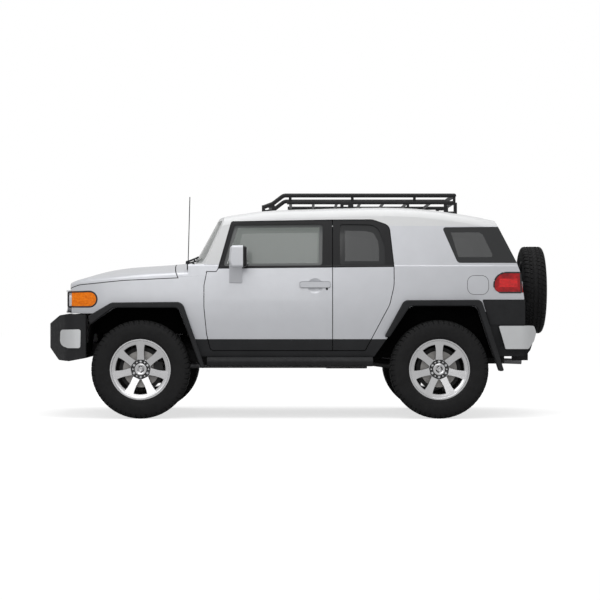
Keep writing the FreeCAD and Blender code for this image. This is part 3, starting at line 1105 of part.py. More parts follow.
half_shafts = rod((FRONT_AXLE_X, -STEER_AXIS_Y + 32.0, AXLE_Z), (FRONT_AXLE_X, STEER_AXIS_Y - 32.0, AXLE_Z), 10.0)
boots = rod((FRONT_AXLE_X, -290.0, AXLE_Z), (FRONT_AXLE_X, 290.0, AXLE_Z), 38.0)
save("front_suspension", arms)
drive = diff.fuse(half_shafts).fuse(boots)
gearbox = rod((1120.0, 0.0, 640.0), (760.0, 0.0, 640.0), 98.0).fuse(rod((760.0, 0.0, 640.0), (300.0, 0.0, 630.0), 80.0))
transfer = prism_y([(330.0, 700.0, 30.0), (330.0, 536.0, 30.0), (180.0, 536.0, 30.0), (180.0, 700.0, 30.0)], -70.0, 114.0)
rear_shaft = rod((190.0, 0.0, 574.0), (REAR_AXLE_X + 190.0 + SEAT_GAP, 0.0, AXLE_Z + 16.0), 32.0)
front_shaft = rod((320.0, 100.0, 572.0), (FRONT_AXLE_X - 100.0, 100.0, AXLE_Z + 14.0), 22.0)
drive = drive.fuse(gearbox).fuse(transfer).fuse(rear_shaft).fuse(front_shaft).cut(nose_piece)
save("drivetrain", drive)

engine = prism_x([(-270.0, 1010.0, 30.0), (-150.0, 1120.0, 30.0), (150.0, 1120.0, 30.0), (270.0, 1010.0, 30.0),
                  (180.0, 640.0, 30.0), (-180.0, 640.0, 30.0)], 1120.0 + SEAT_GAP, 1720.0)
for hand in (-1.0, 1.0):
    y0, y1 = sorted((hand * 150.0, hand * (RAIL_Y + 20.0)))
    engine = engine.fuse(box(1380.0, 1440.0, y0, y1, 672.0 + SEAT_GAP, 720.0))
radiator = box(1950.0, 1990.0, -330.0, 330.0, 672.0 + SEAT_GAP, 1120.0)
radiator = radiator.fuse(box(1950.0, 1990.0, -RAIL_Y - 20.0, RAIL_Y + 20.0, 672.0 + SEAT_GAP, 700.0))
save("engine_block", Part.makeCompound([engine, radiator]))

tank = prism_z([(-1430.0, -60.0, 40.0), (-1430.0, 340.0, 40.0), (-1900.0, 340.0, 40.0), (-1900.0, -60.0, 40.0)], 478.0, 596.0)
for x in (-1500.0, -1720.0):
    tank = tank.fuse(box(x - 20.0, x + 20.0, 100.0, 140.0, 590.0, (610.0 - SEAT_GAP) if x == -1720.0 else 596.0))
save("fuel_tank", tank)

EXHAUST_Y = -250.0
PIPE_Z = AXLE_Z
pipe = rod((1130.0, EXHAUST_Y, PIPE_Z), (-250.0, EXHAUST_Y, PIPE_Z), 26.0)
down_pipe = rod((1130.0, EXHAUST_Y, PIPE_Z), (1180.0, -225.0, 720.0), 26.0)
muffler = rod((-250.0, EXHAUST_Y, 485.0), (-640.0, EXHAUST_Y, 485.0), 72.0)
over = tube_path([(-630.0, EXHAUST_Y, 485.0), (-880.0, EXHAUST_Y, 520.0), (-1080.0, EXHAUST_Y, 568.0), (-1400.0, EXHAUST_Y, 568.0),
                  (-1560.0, EXHAUST_Y, 500.0), (-2120.0, EXHAUST_Y, 480.0)], 26.0, 120.0)
exhaust = pipe.fuse(Part.makeSphere(27.0, Vector(1130.0, EXHAUST_Y, PIPE_Z))).fuse(down_pipe).fuse(muffler).fuse(over)
for x, high, low in ((-940.0, 630.0, 540.0), (-1720.0, 610.0, 494.0), (420.0, 475.0, PIPE_Z)):
    hanger = box(x - 6.0, x + 6.0, EXHAUST_Y - 8.0, EXHAUST_Y + 8.0, low, high - SEAT_GAP)
    exhaust = exhaust.fuse(hanger)
exhaust = exhaust.cut(engine)
save("exhaust", exhaust)

# Flares and dark corner panels

FLARE_Y = WHEEL_Y + 142.0
FRONT_FLARE = [
    (1904.0, 925.0, 14.0), (1695.0, 1047.0, 80.0), (1060.0, 1053.0, 70.0), (846.0, 434.0, 14.0),
    (896.0, 470.0, 14.0), (1092.0, 1000.0, 60.0), (1680.0, 1000.0, 90.0), (1888.0, 845.0, 14.0),
]
REAR_FLARE = [
    (-754.0, 730.0, 14.0), (-938.0, 1068.0, 60.0), (-1630.0, 1072.0, 50.0), (-1835.0, 430.0, 14.0),
    (-1788.0, 430.0, 14.0), (-1592.0, 1015.0, 60.0), (-990.0, 1015.0, 50.0), (-806.0, 738.0, 14.0),
]


def make_flare(corners, body):
    """A flare band standing out from the body's side, with a soft outer edge."""
    band = prism_y(corners, 860.0, FLARE_Y)
    edges = [e for e in band.Edges if abs(e.BoundBox.YMin - FLARE_Y) < 0.01 and abs(e.BoundBox.YMax - FLARE_Y) < 0.01]
    soft = band.makeChamfer(9.0, edges)
    return soft.cut(body)


front_flare = make_flare(FRONT_FLARE, FRONT_OUTER)
rear_flare = make_flare(REAR_FLARE, LEFT_OUTER)
corner_panel = prism_y(CORNER_PANEL, 700.0 + PANEL_GAP + 2.0, 1100.0).common(base_form(-9.0, SILL_BOTTOM_Z)).cut(LEFT_OUTER).cut(rear_flare)
hinge_notch = box(TAIL_X - 60.0, TAIL_X + 90.0, GATE_HINGE_Y - 100.0, 0.0, GATE_HINGES[0] - 50.0, GATE_HINGES[0] + 50.0)
flares = [front_flare, rear_flare, mirrored(front_flare), mirrored(rear_flare)]
save("wheel_flares", Part.makeCompound(flares + [corner_panel, mirrored(corner_panel).cut(hinge_notch)]))

# Bumpers

BUMPER_FRONT_X = FRONT_AXLE_X + 859.0
BUMPER_HALF = 925.0
FRONT_BUMPER_PLAN = [
    (BUMPER_REAR_X, -BUMPER_HALF, 10.0), (2090.0, -BUMPER_HALF, 130.0), (BUMPER_FRONT_X, -560.0, 160.0),
    (BUMPER_FRONT_X, 560.0, 160.0), (2090.0, BUMPER_HALF, 130.0), (BUMPER_REAR_X, BUMPER_HALF, 10.0),
]
FRONT_BUMPER_SIDE = [
    (BUMPER_REAR_X - 5.0, 548.0), (BUMPER_REAR_X - 5.0, 935.0), (2080.0, 946.0, 30.0), (2180.0, 930.0, 40.0),
    (BUMPER_FRONT_X + 2.0, 850.0, 30.0), (BUMPER_FRONT_X + 2.0, 640.0, 30.0), (2190.0, 524.0, 20.0), (2080.0, 518.0),
]
BUMPER_WALL = 26.0


def bumper_form(inset):
    """The front bumper's outer form, moved inwards by inset."""
    plan = prism_z(grown(FRONT_BUMPER_PLAN, -inset), 400.0, 1000.0)
    return plan.common(prism_y(grown(FRONT_BUMPER_SIDE, -inset), -1100.0, 1100.0))


hollow = bumper_form(BUMPER_WALL).fuse(box(BUMPER_REAR_X - 40.0, BUMPER_REAR_X + 60.0, -BUMPER_HALF + BUMPER_WALL, BUMPER_HALF - BUMPER_WALL, 580.0, 900.0))
front_bumper = bumper_form(0.0).cut(hollow)
intake = [(-430.0, 700.0, 30.0), (-470.0, 800.0, 30.0), (470.0, 800.0, 30.0), (430.0, 700.0, 30.0)]
front_bumper = front_bumper.cut(prism_x(intake, 2150.0, 2400.0)).cut(FRONT_OUTER)
for hand in (-1.0, 1.0):
    horn = box(2139.0 + SEAT_GAP, BUMPER_FRONT_X - 10.0, hand * RAIL_Y - 45.0, hand * RAIL_Y + 45.0, 580.0, 670.0)
    front_bumper = front_bumper.fuse(horn.common(bumper_form(4.0)))
front_bumper = front_bumper.cut(frame)
SILVER_SIDE = [(1972.0, 806.0, 20.0), (2170.0, 800.0, 30.0), (2176.0, 664.0, 60.0), (2090.0, 636.0, 40.0), (1976.0, 636.0, 20.0)]
front_silver = bumper_form(-7.0).cut(bumper_form(0.0)).common(prism_y(SILVER_SIDE, 500.0, 1100.0))
save("front_bumper", front_bumper)

REAR_SIDE = [
    (-1789.0, 836.0, 12.0), (-2118.0, 836.0, 24.0), (-2140.0, 772.0, 30.0), (-2118.0, 700.0, 40.0),
    (-2060.0, 628.0, 30.0), (-1850.0, 628.0, 12.0),
]
REAR_PLAN = [(-1780.0, 586.0, 10.0), (-1780.0, 925.0, 20.0), (-2040.0, 925.0, 110.0), (-2150.0, 780.0, 60.0), (-2150.0, 586.0, 10.0)]
rear_end = prism_y(REAR_SIDE, 500.0, 1000.0).common(prism_z(REAR_PLAN, 500.0, 900.0))
rear_end = rear_end.cut(prism_y(grown(REAR_SIDE, -22.0), 500.0, 1000.0).common(prism_z(grown(REAR_PLAN, -22.0), 500.0, 900.0)).fuse(box(-2000.0, -1700.0, 600.0, 900.0, 650.0, 812.0)))
rear_end = rear_end.cut(BASE_OUT).cut(rear_flare).cut(corner_panel)
save("bumper_corners", Part.makeCompound([front_silver, mirrored(front_silver), rear_end, mirrored(rear_end)]))
REAR_STEP_SIDE = [(-2070.0, 744.0, 6.0), (-2128.0, 744.0, 12.0), (-2140.0, 700.0, 16.0), (-2110.0, 610.0, 30.0), (-2070.0, 560.0, 20.0), (-2003.0, 545.0, 6.0), (-2003.0, 600.0, 6.0), (-2062.0, 640.0, 10.0)]
REAR_STEP_HALF = 586.0 - SEAT_GAP
rear_step = prism_y(REAR_STEP_SIDE, -REAR_STEP_HALF, REAR_STEP_HALF).cut(BASE_OUT)
hitch = box(-2150.0, -2003.0 - SEAT_GAP, -38.0, 38.0, 500.0, 576.0).cut(box(-2200.0, -2020.0, -25.5, 25.5, 512.0, 563.0))
rear_step = rear_step.fuse(hitch)
for hand in (-1.0, 1.0):
    y0, y1 = sorted((hand * 340.0, hand * 470.0))
    rear_step = rear_step.fuse(box(-2075.0, -2003.0 - SEAT_GAP, y0, y1, 560.0, 640.0))
rear_step = rear_step.cut(BASE_OUT).cut(frame)
save("rear_bumper", rear_step)

# Side steps

STEP_FRONT_X = 836.0
STEP_REAR_X = -655.0
STEP_SECTION = [(800.0, 560.0, 12.0), (918.0, 556.0, 30.0), (948.0, 520.0, 24.0), (930.0, 480.0, 20.0), (820.0, 468.0, 16.0), (800.0, 490.0, 10.0)]
step = prism_x(STEP_SECTION, STEP_REAR_X, STEP_FRONT_X).cut(front_flare)
for x in (700.0, 60.0, -400.0):
    step = step.fuse(rod((x, RAIL_Y + RAIL_HALF + SEAT_GAP, 500.0), (x, 830.0, 520.0), 17.0))
step = step.cut(BASE_OUT).cut(rail)
save("side_steps", both_sides(step))

# Roof rack

RACK_Y = 550.0
RACK_TUBE = 19.0
RACK_TOP_Z = AXLE_Z + 1584.0
RACK_FLOOR_Z = RACK_TOP_Z - 66.0


def roof_z(x, y):
    """Height of the roof's surface."""
    top = ROOF_LINE[0][1]
    for i in range(len(ROOF_LINE) - 1):
        (x1, z1), (x2, z2) = ROOF_LINE[i], ROOF_LINE[i + 1]
        if x2 <= x <= x1:
            top = z1 + (z2 - z1) * (x1 - x) / (x1 - x2)
    return top + 8.0 - 20.0 * (y / 660.0) ** 2


rails = tube_path([(330.0, RACK_Y, RACK_FLOOR_Z - 40.0), (250.0, RACK_Y, RACK_FLOOR_Z - 10.0), (150.0, RACK_Y, RACK_TOP_Z), (-1415.0, RACK_Y, RACK_TOP_Z)], RACK_TUBE, 60.0)
rails = rails.fuse(rod((120.0, RACK_Y, RACK_FLOOR_Z), (-1415.0, RACK_Y, RACK_FLOOR_Z), RACK_TUBE - 3.0))
rack = rails.fuse(mirrored(rails))
for x in (-1415.0,):
    rack = rack.fuse(rod((x, -RACK_Y, RACK_TOP_Z), (x, RACK_Y, RACK_TOP_Z), RACK_TUBE))
    rack = rack.fuse(Part.makeSphere(RACK_TUBE, Vector(x, RACK_Y, RACK_TOP_Z))).fuse(Part.makeSphere(RACK_TUBE, Vector(x, -RACK_Y, RACK_TOP_Z)))
for x in (280.0,):
    rack = rack.fuse(rod((x, -RACK_Y, RACK_FLOOR_Z - 22.0), (x, RACK_Y, RACK_FLOOR_Z - 22.0), RACK_TUBE - 3.0))
BAR_COUNT = 8
for i in range(BAR_COUNT):
    x = 90.0 - i * (1505.0 / (BAR_COUNT - 1))
    rack = rack.fuse(rod((x, -RACK_Y, RACK_FLOOR_Z), (x, RACK_Y, RACK_FLOOR_Z), RACK_TUBE - 6.0))
for x in (90.0, -480.0, -1050.0, -1415.0):
    for hand in (-1.0, 1.0):
        rack = rack.fuse(rod((x, hand * RACK_Y, RACK_FLOOR_Z), (x, hand * RACK_Y, RACK_TOP_Z), RACK_TUBE - 6.0))
for x, top_z in ((290.0, RACK_FLOOR_Z - 24.0), (-430.0, RACK_FLOOR_Z), (-1380.0, RACK_FLOOR_Z)):
    for hand in (-1.0, 1.0):
        y = hand * RACK_Y
        leg = box(x - 60.0, x + 60.0, y - 16.0, y + 16.0, roof_z(x, RACK_Y) - 40.0, top_z)
        leg = leg.cut(box(x - 30.0, x + 30.0, y - 30.0, y + 30.0, roof_z(x, RACK_Y) + 12.0, top_z - 22.0))
        rack = rack.fuse(leg)
rack = rack.cut(GLASS_OUT)
save("roof_rack", rack)

# Mirrors, wipers and antenna

MIRROR_BODY = [
    (474.0, 1374.0, 20.0), (474.0, 1540.0, 20.0), (512.0, 1558.0, 14.0), (622.0, 1556.0, 34.0),
    (637.0, 1420.0, 60.0), (616.0, 1360.0, 30.0), (512.0, 1362.0, 14.0),
]
mirror = prism_y(MIRROR_BODY, 905.0, 1092.0)
mirror = mirror.makeFillet(22.0, [e for e in mirror.Edges if e.BoundBox.YMin > 1091.0])
foot = prism_x([(850.0, 1222.0, 6.0), (900.0, 1222.0, 10.0), (945.0, 1385.0, 10.0), (912.0, 1400.0, 10.0), (850.0, 1330.0, 10.0)], 522.0, 636.0)
mirror = mirror.fuse(foot).cut(LEFT_OUTER)
save("mirror_left", mirror)
save("mirror_right", mirrored(mirror))

antenna = rod((1016.0, 745.0, 1340.0), (1016.0, 745.0, 1420.0), 12.0).fuse(rod((1016.0, 745.0, 1400.0), (1000.0, 745.0, 2004.0), 4.0))


def screen_x(y, z):
    """Where the windscreen's surface lies at y and z."""
    share = (z - 1250.0) / 700.0
    centre_x, edge_x = 1079.0 - 390.0 * share, 879.0 - 328.0 * share
    return centre_x - (centre_x - edge_x) * (y / 1000.0) ** 2


def wiper(y0, y1, foot_z):
    """A wiper: its post through the cowl, its arm up to the glass and its blade along the glass."""
    post = rod((1074.0, y0, foot_z), (1070.0, y0, 1428.0), 12.0).fuse(Part.makeSphere(13.0, Vector(1070.0, y0, 1428.0)))
    middle = (y0 + y1) / 2
    joint = (screen_x(middle, 1450.0) + 30.0, middle, 1450.0)
    low, high = (screen_x(y0, 1438.0) + 24.0, y0, 1438.0), (screen_x(y1, 1462.0) + 24.0, y1, 1462.0)
    arm = rod((1070.0, y0, 1430.0), joint, 9.0)
    return post.fuse(arm).fuse(rod(low, joint, 8.0)).fuse(rod(joint, high, 8.0)).fuse(Part.makeSphere(10.0, Vector(*joint)))


wipers = wiper(-620.0, -60.0, 1352.0).fuse(wiper(-40.0, 520.0, 1398.0))
trim = antenna.fuse(wipers).cut(cowl).cut(screen).cut(GLASS_OUT)
save("cowl_trim", trim)

# Cabin furniture

DASH_SECTION = [(880.0, 1330.0, 30.0), (600.0, 1352.0, 60.0), (560.0, 1200.0, 60.0), (640.0, 1020.0, 30.0), (880.0, 1000.0)]
dash = prism_y(DASH_SECTION, -PILLAR_Y + SEAT_GAP, PILLAR_Y - SEAT_GAP)
dash = dash.cut(cowl)
wheel_ring = Part.makeTorus(170.0, 14.0)
wheel_hub = Part.makeCylinder(50.0, 30.0, Vector(0, 0, -20.0))
for i in range(3):
    spoke = box(0.0, 165.0, -14.0, 14.0, -12.0, 0.0)
    spoke.rotate(Vector(0, 0, 0), Vector(0, 0, 1), 90.0 + i * 120.0)
    wheel_hub = wheel_hub.fuse(spoke)
steering = wheel_ring.fuse(wheel_hub)
steering.Placement = FreeCAD.Placement(Vector(440.0, 370.0, 1172.0), FreeCAD.Rotation(Vector(0, 0, 1), Vector(-0.9, 0, 0.42)))
column = rod((660.0, 370.0, 1080.0), (446.0, 370.0, 1170.0), 30.0)
dash = dash.fuse(column).fuse(steering)
console_low = 764.0 + SEAT_GAP
console = [(-96.0, console_low), (-90.0, 900.0, 20.0), (90.0, 900.0, 20.0), (96.0, console_low)]
console = prism_x(console, 150.0, 600.0)
save("dashboard", Part.makeCompound([dash, console]))


def make_seat(x, y, width, base_z, back_top):
    """A plain seat: cushion, back and pedestal, facing forward."""
    half = width / 2
    cushion = prism_y([(x - 250.0, base_z + 120.0, 40.0), (x - 250.0, base_z + 230.0, 50.0), (x + 260.0, base_z + 260.0, 60.0), (x + 270.0, base_z + 130.0, 50.0)], y - half, y + half)
    back = prism_y([(x - 270.0, base_z + 190.0, 40.0), (x - 150.0, base_z + 200.0, 40.0), (x - 290.0, back_top, 50.0), (x - 400.0, back_top - 10.0, 50.0)], y - half, y + half)
    return cushion.fuse(back)


SEAT_Y = 388.0
front_seats = None
for hand in (-1.0, 1.0):
    seat = make_seat(100.0, hand * SEAT_Y, 460.0, FLOOR_TOP_Z - 6.0, 1340.0)
    for dx in (-200.0, 200.0):
        rail_low = box(100.0 + dx - 30.0, 100.0 + dx + 30.0, hand * SEAT_Y - 200.0, hand * SEAT_Y + 200.0, FLOOR_TOP_Z - 6.0 + SEAT_GAP, FLOOR_TOP_Z + 140.0)
        seat = seat.fuse(rail_low)
    front_seats = seat if front_seats is None else front_seats.fuse(seat)
save("front_seats", front_seats)
bench = prism_y([(-1190.0, LOAD_FLOOR_Z + SEAT_GAP), (-1190.0, LOAD_FLOOR_Z + 150.0, 40.0), (-700.0, LOAD_FLOOR_Z + 190.0, 60.0), (-690.0, LOAD_FLOOR_Z + 60.0, 40.0), (-760.0, LOAD_FLOOR_Z + SEAT_GAP)], -600.0, 600.0)
bench = bench.fuse(prism_y([(-1230.0, LOAD_FLOOR_Z + 40.0, 20.0), (-1110.0, LOAD_FLOOR_Z + 60.0, 20.0), (-1200.0, 1345.0, 50.0), (-1310.0, 1335.0, 50.0)], -600.0, 600.0))
save("rear_bench", bench)
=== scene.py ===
import logging
import math
from dataclasses import dataclass, replace
from enum import Enum
from typing import Sequence, Union

import bpy
import numpy as np
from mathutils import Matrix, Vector
from mathutils.bvhtree import BVHTree


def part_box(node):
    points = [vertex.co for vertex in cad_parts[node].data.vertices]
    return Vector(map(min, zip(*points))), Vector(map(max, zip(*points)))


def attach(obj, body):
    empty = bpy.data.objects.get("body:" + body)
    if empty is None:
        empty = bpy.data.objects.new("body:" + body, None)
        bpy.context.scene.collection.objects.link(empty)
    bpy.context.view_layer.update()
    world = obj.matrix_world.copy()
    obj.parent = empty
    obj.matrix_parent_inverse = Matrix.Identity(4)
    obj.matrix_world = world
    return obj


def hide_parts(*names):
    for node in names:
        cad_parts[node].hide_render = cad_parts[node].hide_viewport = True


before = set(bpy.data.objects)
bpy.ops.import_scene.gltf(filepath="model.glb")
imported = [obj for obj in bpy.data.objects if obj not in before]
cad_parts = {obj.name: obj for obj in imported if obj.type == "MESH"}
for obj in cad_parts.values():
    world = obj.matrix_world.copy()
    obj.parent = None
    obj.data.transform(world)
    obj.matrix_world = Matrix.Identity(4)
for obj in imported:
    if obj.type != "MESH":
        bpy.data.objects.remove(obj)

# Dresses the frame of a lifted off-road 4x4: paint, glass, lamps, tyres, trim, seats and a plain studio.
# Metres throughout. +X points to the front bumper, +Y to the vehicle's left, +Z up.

LOG = logging.getLogger("dressing")
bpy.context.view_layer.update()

Colour = tuple[float, float, float]
Point = tuple[float, float, float]
Outline = Sequence[tuple[float, float]]
RoundedOutline = Sequence[tuple[float, float, float]]
Value = Union[float, bpy.types.NodeSocket]
Tone = Union[Colour, bpy.types.NodeSocket]

BODY = "body"
# A plane this far out leaves a slab open on that side
OPEN = 9.0
# Rays that look for a side panel start this far from the middle plane
RAY_START_Y = 1.2
CLADDING_TOP_Z = 0.7165
# The rear panels below this height and behind this place are bare trim
REAR_TRIM_TOP_Z = 0.965
REAR_TRIM_X = -1.64
# The mirror's housing is black behind this place
MIRROR_SPLIT_X = 0.508
# The belt line rises to the rear by this slope, and has this height above the frame's origin
BELT_SLOPE = 0.0097
BELT_Z = 1.3586

# Radius where the tyre's beads sit, and half the width between a road wheel's beads
RIM_RADIUS = 0.265
ROAD_BEAD = 0.1045
# The spare's rim is narrower than its tyre by this share, and its beads lie inside the rim's edges
RIM_WIDTH_SHARE = 226.0 / 292.0
BEAD_INSET = 0.0085
# Angle in degrees above which an edge of a small turned part is sharp
CREASE = 30.0

# Clear middles of the side glass, as side-view corners (x, z)
QUARTER_CLEAR = (
    (-1.366, 1.681), (-1.620, 1.681), (-1.655, 1.662), (-1.742, 1.476), (-1.730, 1.457), (-1.430, 1.457),
)
REAR_DOOR_CLEAR = (
    (-0.407, 1.697), (-0.600, 1.694), (-0.668, 1.672), (-0.703, 1.610), (-0.714, 1.540), (-0.714, 1.420),
    (-0.407, 1.420),
)
FRONT_DOOR_CLEAR = ((0.660, 1.396), (0.564, 1.722), (-0.176, 1.729), (-0.170, 1.402))


class Side(Enum):
    """The two sides of the vehicle, by the sign of Y."""

    LEFT = 1
    RIGHT = -1

    @property
    def word(self) -> str:
        """The side's name as it stands in the names of nodes and pieces."""
        return self.name.lower()


class Axis(Enum):
    """The direction of a wheel's axle."""

    ACROSS = "y"
    ALONG = "x"


# Node graphs

class Graph:
    """A material's node tree with short ways to add and join its nodes."""

    def __init__(self, name: str) -> None:
        """Makes an empty material with an output and a principled shader.

        Args:
            name: Name of the material.
        """
        self.material = bpy.data.materials.new(name)
        self.material.use_nodes = True
        self.nodes = self.material.node_tree.nodes
        self.links = self.material.node_tree.links
        self.shader = self.nodes["Principled BSDF"]
        self.place = self.nodes.new("ShaderNodeTexCoord").outputs["Object"]
        self.axes = self.nodes.new("ShaderNodeSeparateXYZ")
        self.links.new(self.place, self.axes.inputs[0])

    def noise(self, scale: float, detail: float = 3.0) -> bpy.types.NodeSocket:
        """Noise in the object's own space.

        Args:
            scale: Number of features per metre.
            detail: Number of octaves.

        Returns:
            The noise's value socket.
        """
        node = self.nodes.new("ShaderNodeTexNoise")
        node.inputs["Scale"].default_value = scale
        node.inputs["Detail"].default_value = detail
        self.links.new(self.place, node.inputs["Vector"])
        return node.outputs[0]

    def calc(self, operation: str, a: Value, b: Value) -> bpy.types.NodeSocket:
        """One math node.

        Args:
            operation: Blender's name of the operation.
            a: First value, a number or a socket.
            b: Second value, a number or a socket.

        Returns:
            The result's socket.
        """
        node = self.nodes.new("ShaderNodeMath")
        node.operation = operation
        for i, value in enumerate((a, b)):
            if isinstance(value, bpy.types.NodeSocket):
                self.links.new(value, node.inputs[i])
            else:
                node.inputs[i].default_value = float(value)
        return node.outputs[0]

    def spread(self, value: bpy.types.NodeSocket, low: float, high: float,
               source_low: float = 0.3, source_high: float = 0.7) -> bpy.types.NodeSocket:
        """Maps a value from one range to another, clamped.

        Args:
            value: The socket to map.
            low: Result at source_low.
            high: Result at source_high.
            source_low: Low end of the source range.
            source_high: High end of the source range.

        Returns:
            The mapped socket.
        """
        node = self.nodes.new("ShaderNodeMapRange")
        node.inputs["From Min"].default_value = source_low
        node.inputs["From Max"].default_value = source_high
        node.inputs["To Min"].default_value = low
        node.inputs["To Max"].default_value = high
        self.links.new(value, node.inputs["Value"])
        return node.outputs[0]

    def blend(self, share: bpy.types.NodeSocket, a: Tone, b: Tone) -> bpy.types.NodeSocket:
        """Mixes two colours.

        Args:
            share: Share of the second colour.
            a: First colour, a tuple or a socket.
            b: Second colour, a tuple or a socket.

        Returns:
            The mixed colour's socket.
        """
        node = self.nodes.new("ShaderNodeMix")
        node.data_type = "RGBA"
        self.links.new(share, node.inputs["Factor"])
        for key, value in (("A", a), ("B", b)):
            socket = [s for s in node.inputs if s.name == key and s.type == "RGBA"][0]
            if isinstance(value, bpy.types.NodeSocket):
                self.links.new(value, socket)
            else:
                socket.default_value = (*value, 1.0)
        return [s for s in node.outputs if s.type == "RGBA"][0]

    def lean(self, share: bpy.types.NodeSocket, a: Value, b: float) -> bpy.types.NodeSocket:
        """Mixes two values, where share is the second one's share."""
        rest = self.calc("MULTIPLY", self.calc("SUBTRACT", 1.0, share), a)
        return self.calc("ADD", rest, self.calc("MULTIPLY", share, b))

    def between(self, value: bpy.types.NodeSocket, low: float, high: float) -> bpy.types.NodeSocket:
        """A value of 1 where another one lies between two limits and 0 elsewhere.

        Args:
            value: The socket to test.
            low: Lower limit.
            high: Upper limit.

        Returns:
            The mask's socket.
        """
        above = self.calc("GREATER_THAN", value, low)
        below = self.calc("LESS_THAN", value, high)
        return self.calc("MULTIPLY", above, below)

    def relief(self, height: bpy.types.NodeSocket, depth: float) -> None:
        """Adds bump to the shader.

        Args:
            height: Socket with heights from 0 to 1.
            depth: Height of a full step, in metres.
        """
        node = self.nodes.new("ShaderNodeBump")
        node.inputs["Strength"].default_value = 1.0
        node.inputs["Distance"].default_value = depth
        self.links.new(height, node.inputs["Height"])
        self.links.new(node.outputs[0], self.shader.inputs["Normal"])

    def set(self, name: str, value: Union[Value, Tone]) -> None:
        """Sets or links one input of the shader.

        Args:
            name: Name of the input.
            value: A number, a colour or a socket.
        """
        socket = self.shader.inputs[name]
        if isinstance(value, bpy.types.NodeSocket):
            self.links.new(value, socket)
        elif isinstance(value, tuple):
            socket.default_value = (*value, 1.0)
        else:
            socket.default_value = value


def inside_all(graph: Graph, zones: Sequence) -> bpy.types.NodeSocket:
    """A value of 1 where several zones overlap and 0 elsewhere.

    Args:
        graph: The graph that the nodes go into.
        zones: Slabs or rings, at least one.

    Returns:
        The mask's socket.
    """
    share = zones[0].mask(graph)
    for zone in zones[1:]:
        share = graph.calc("MULTIPLY", share, zone.mask(graph))
    return share


@dataclass(frozen=True)
class Slab:
    """A layer of space between two parallel planes, in which a finish changes."""

    normal: Point
    low: float
    high: float

    def mask(self, graph: Graph) -> bpy.types.NodeSocket:
        """A value of 1 inside the layer and 0 outside it.

        Args:
            graph: The graph that the nodes go into.

        Returns:
            The mask's socket.
        """
        total = None
        for i, share in enumerate(self.normal):
            if share == 0.0:
                continue
            term = graph.calc("MULTIPLY", graph.axes.outputs[i], share)
            total = term if total is None else graph.calc("ADD", total, term)
        return graph.between(total, self.low, self.high)


@dataclass(frozen=True)
class Ring:
    """The space between two round tubes about one axle, in which a finish changes."""

    centre: Point
    axle: int
    low: float
    high: float

    def mask(self, graph: Graph) -> bpy.types.NodeSocket:
        """A value of 1 between the tubes and 0 elsewhere.

        Args:
            graph: The graph that the nodes go into.

        Returns:
            The mask's socket.
        """
        total = None
        for i in range(3):
            if i == self.axle:
                continue
            step = graph.calc("SUBTRACT", graph.axes.outputs[i], self.centre[i])
            square = graph.calc("MULTIPLY", step, step)
            total = square if total is None else graph.calc("ADD", total, square)
        return graph.between(total, self.low ** 2, self.high ** 2)


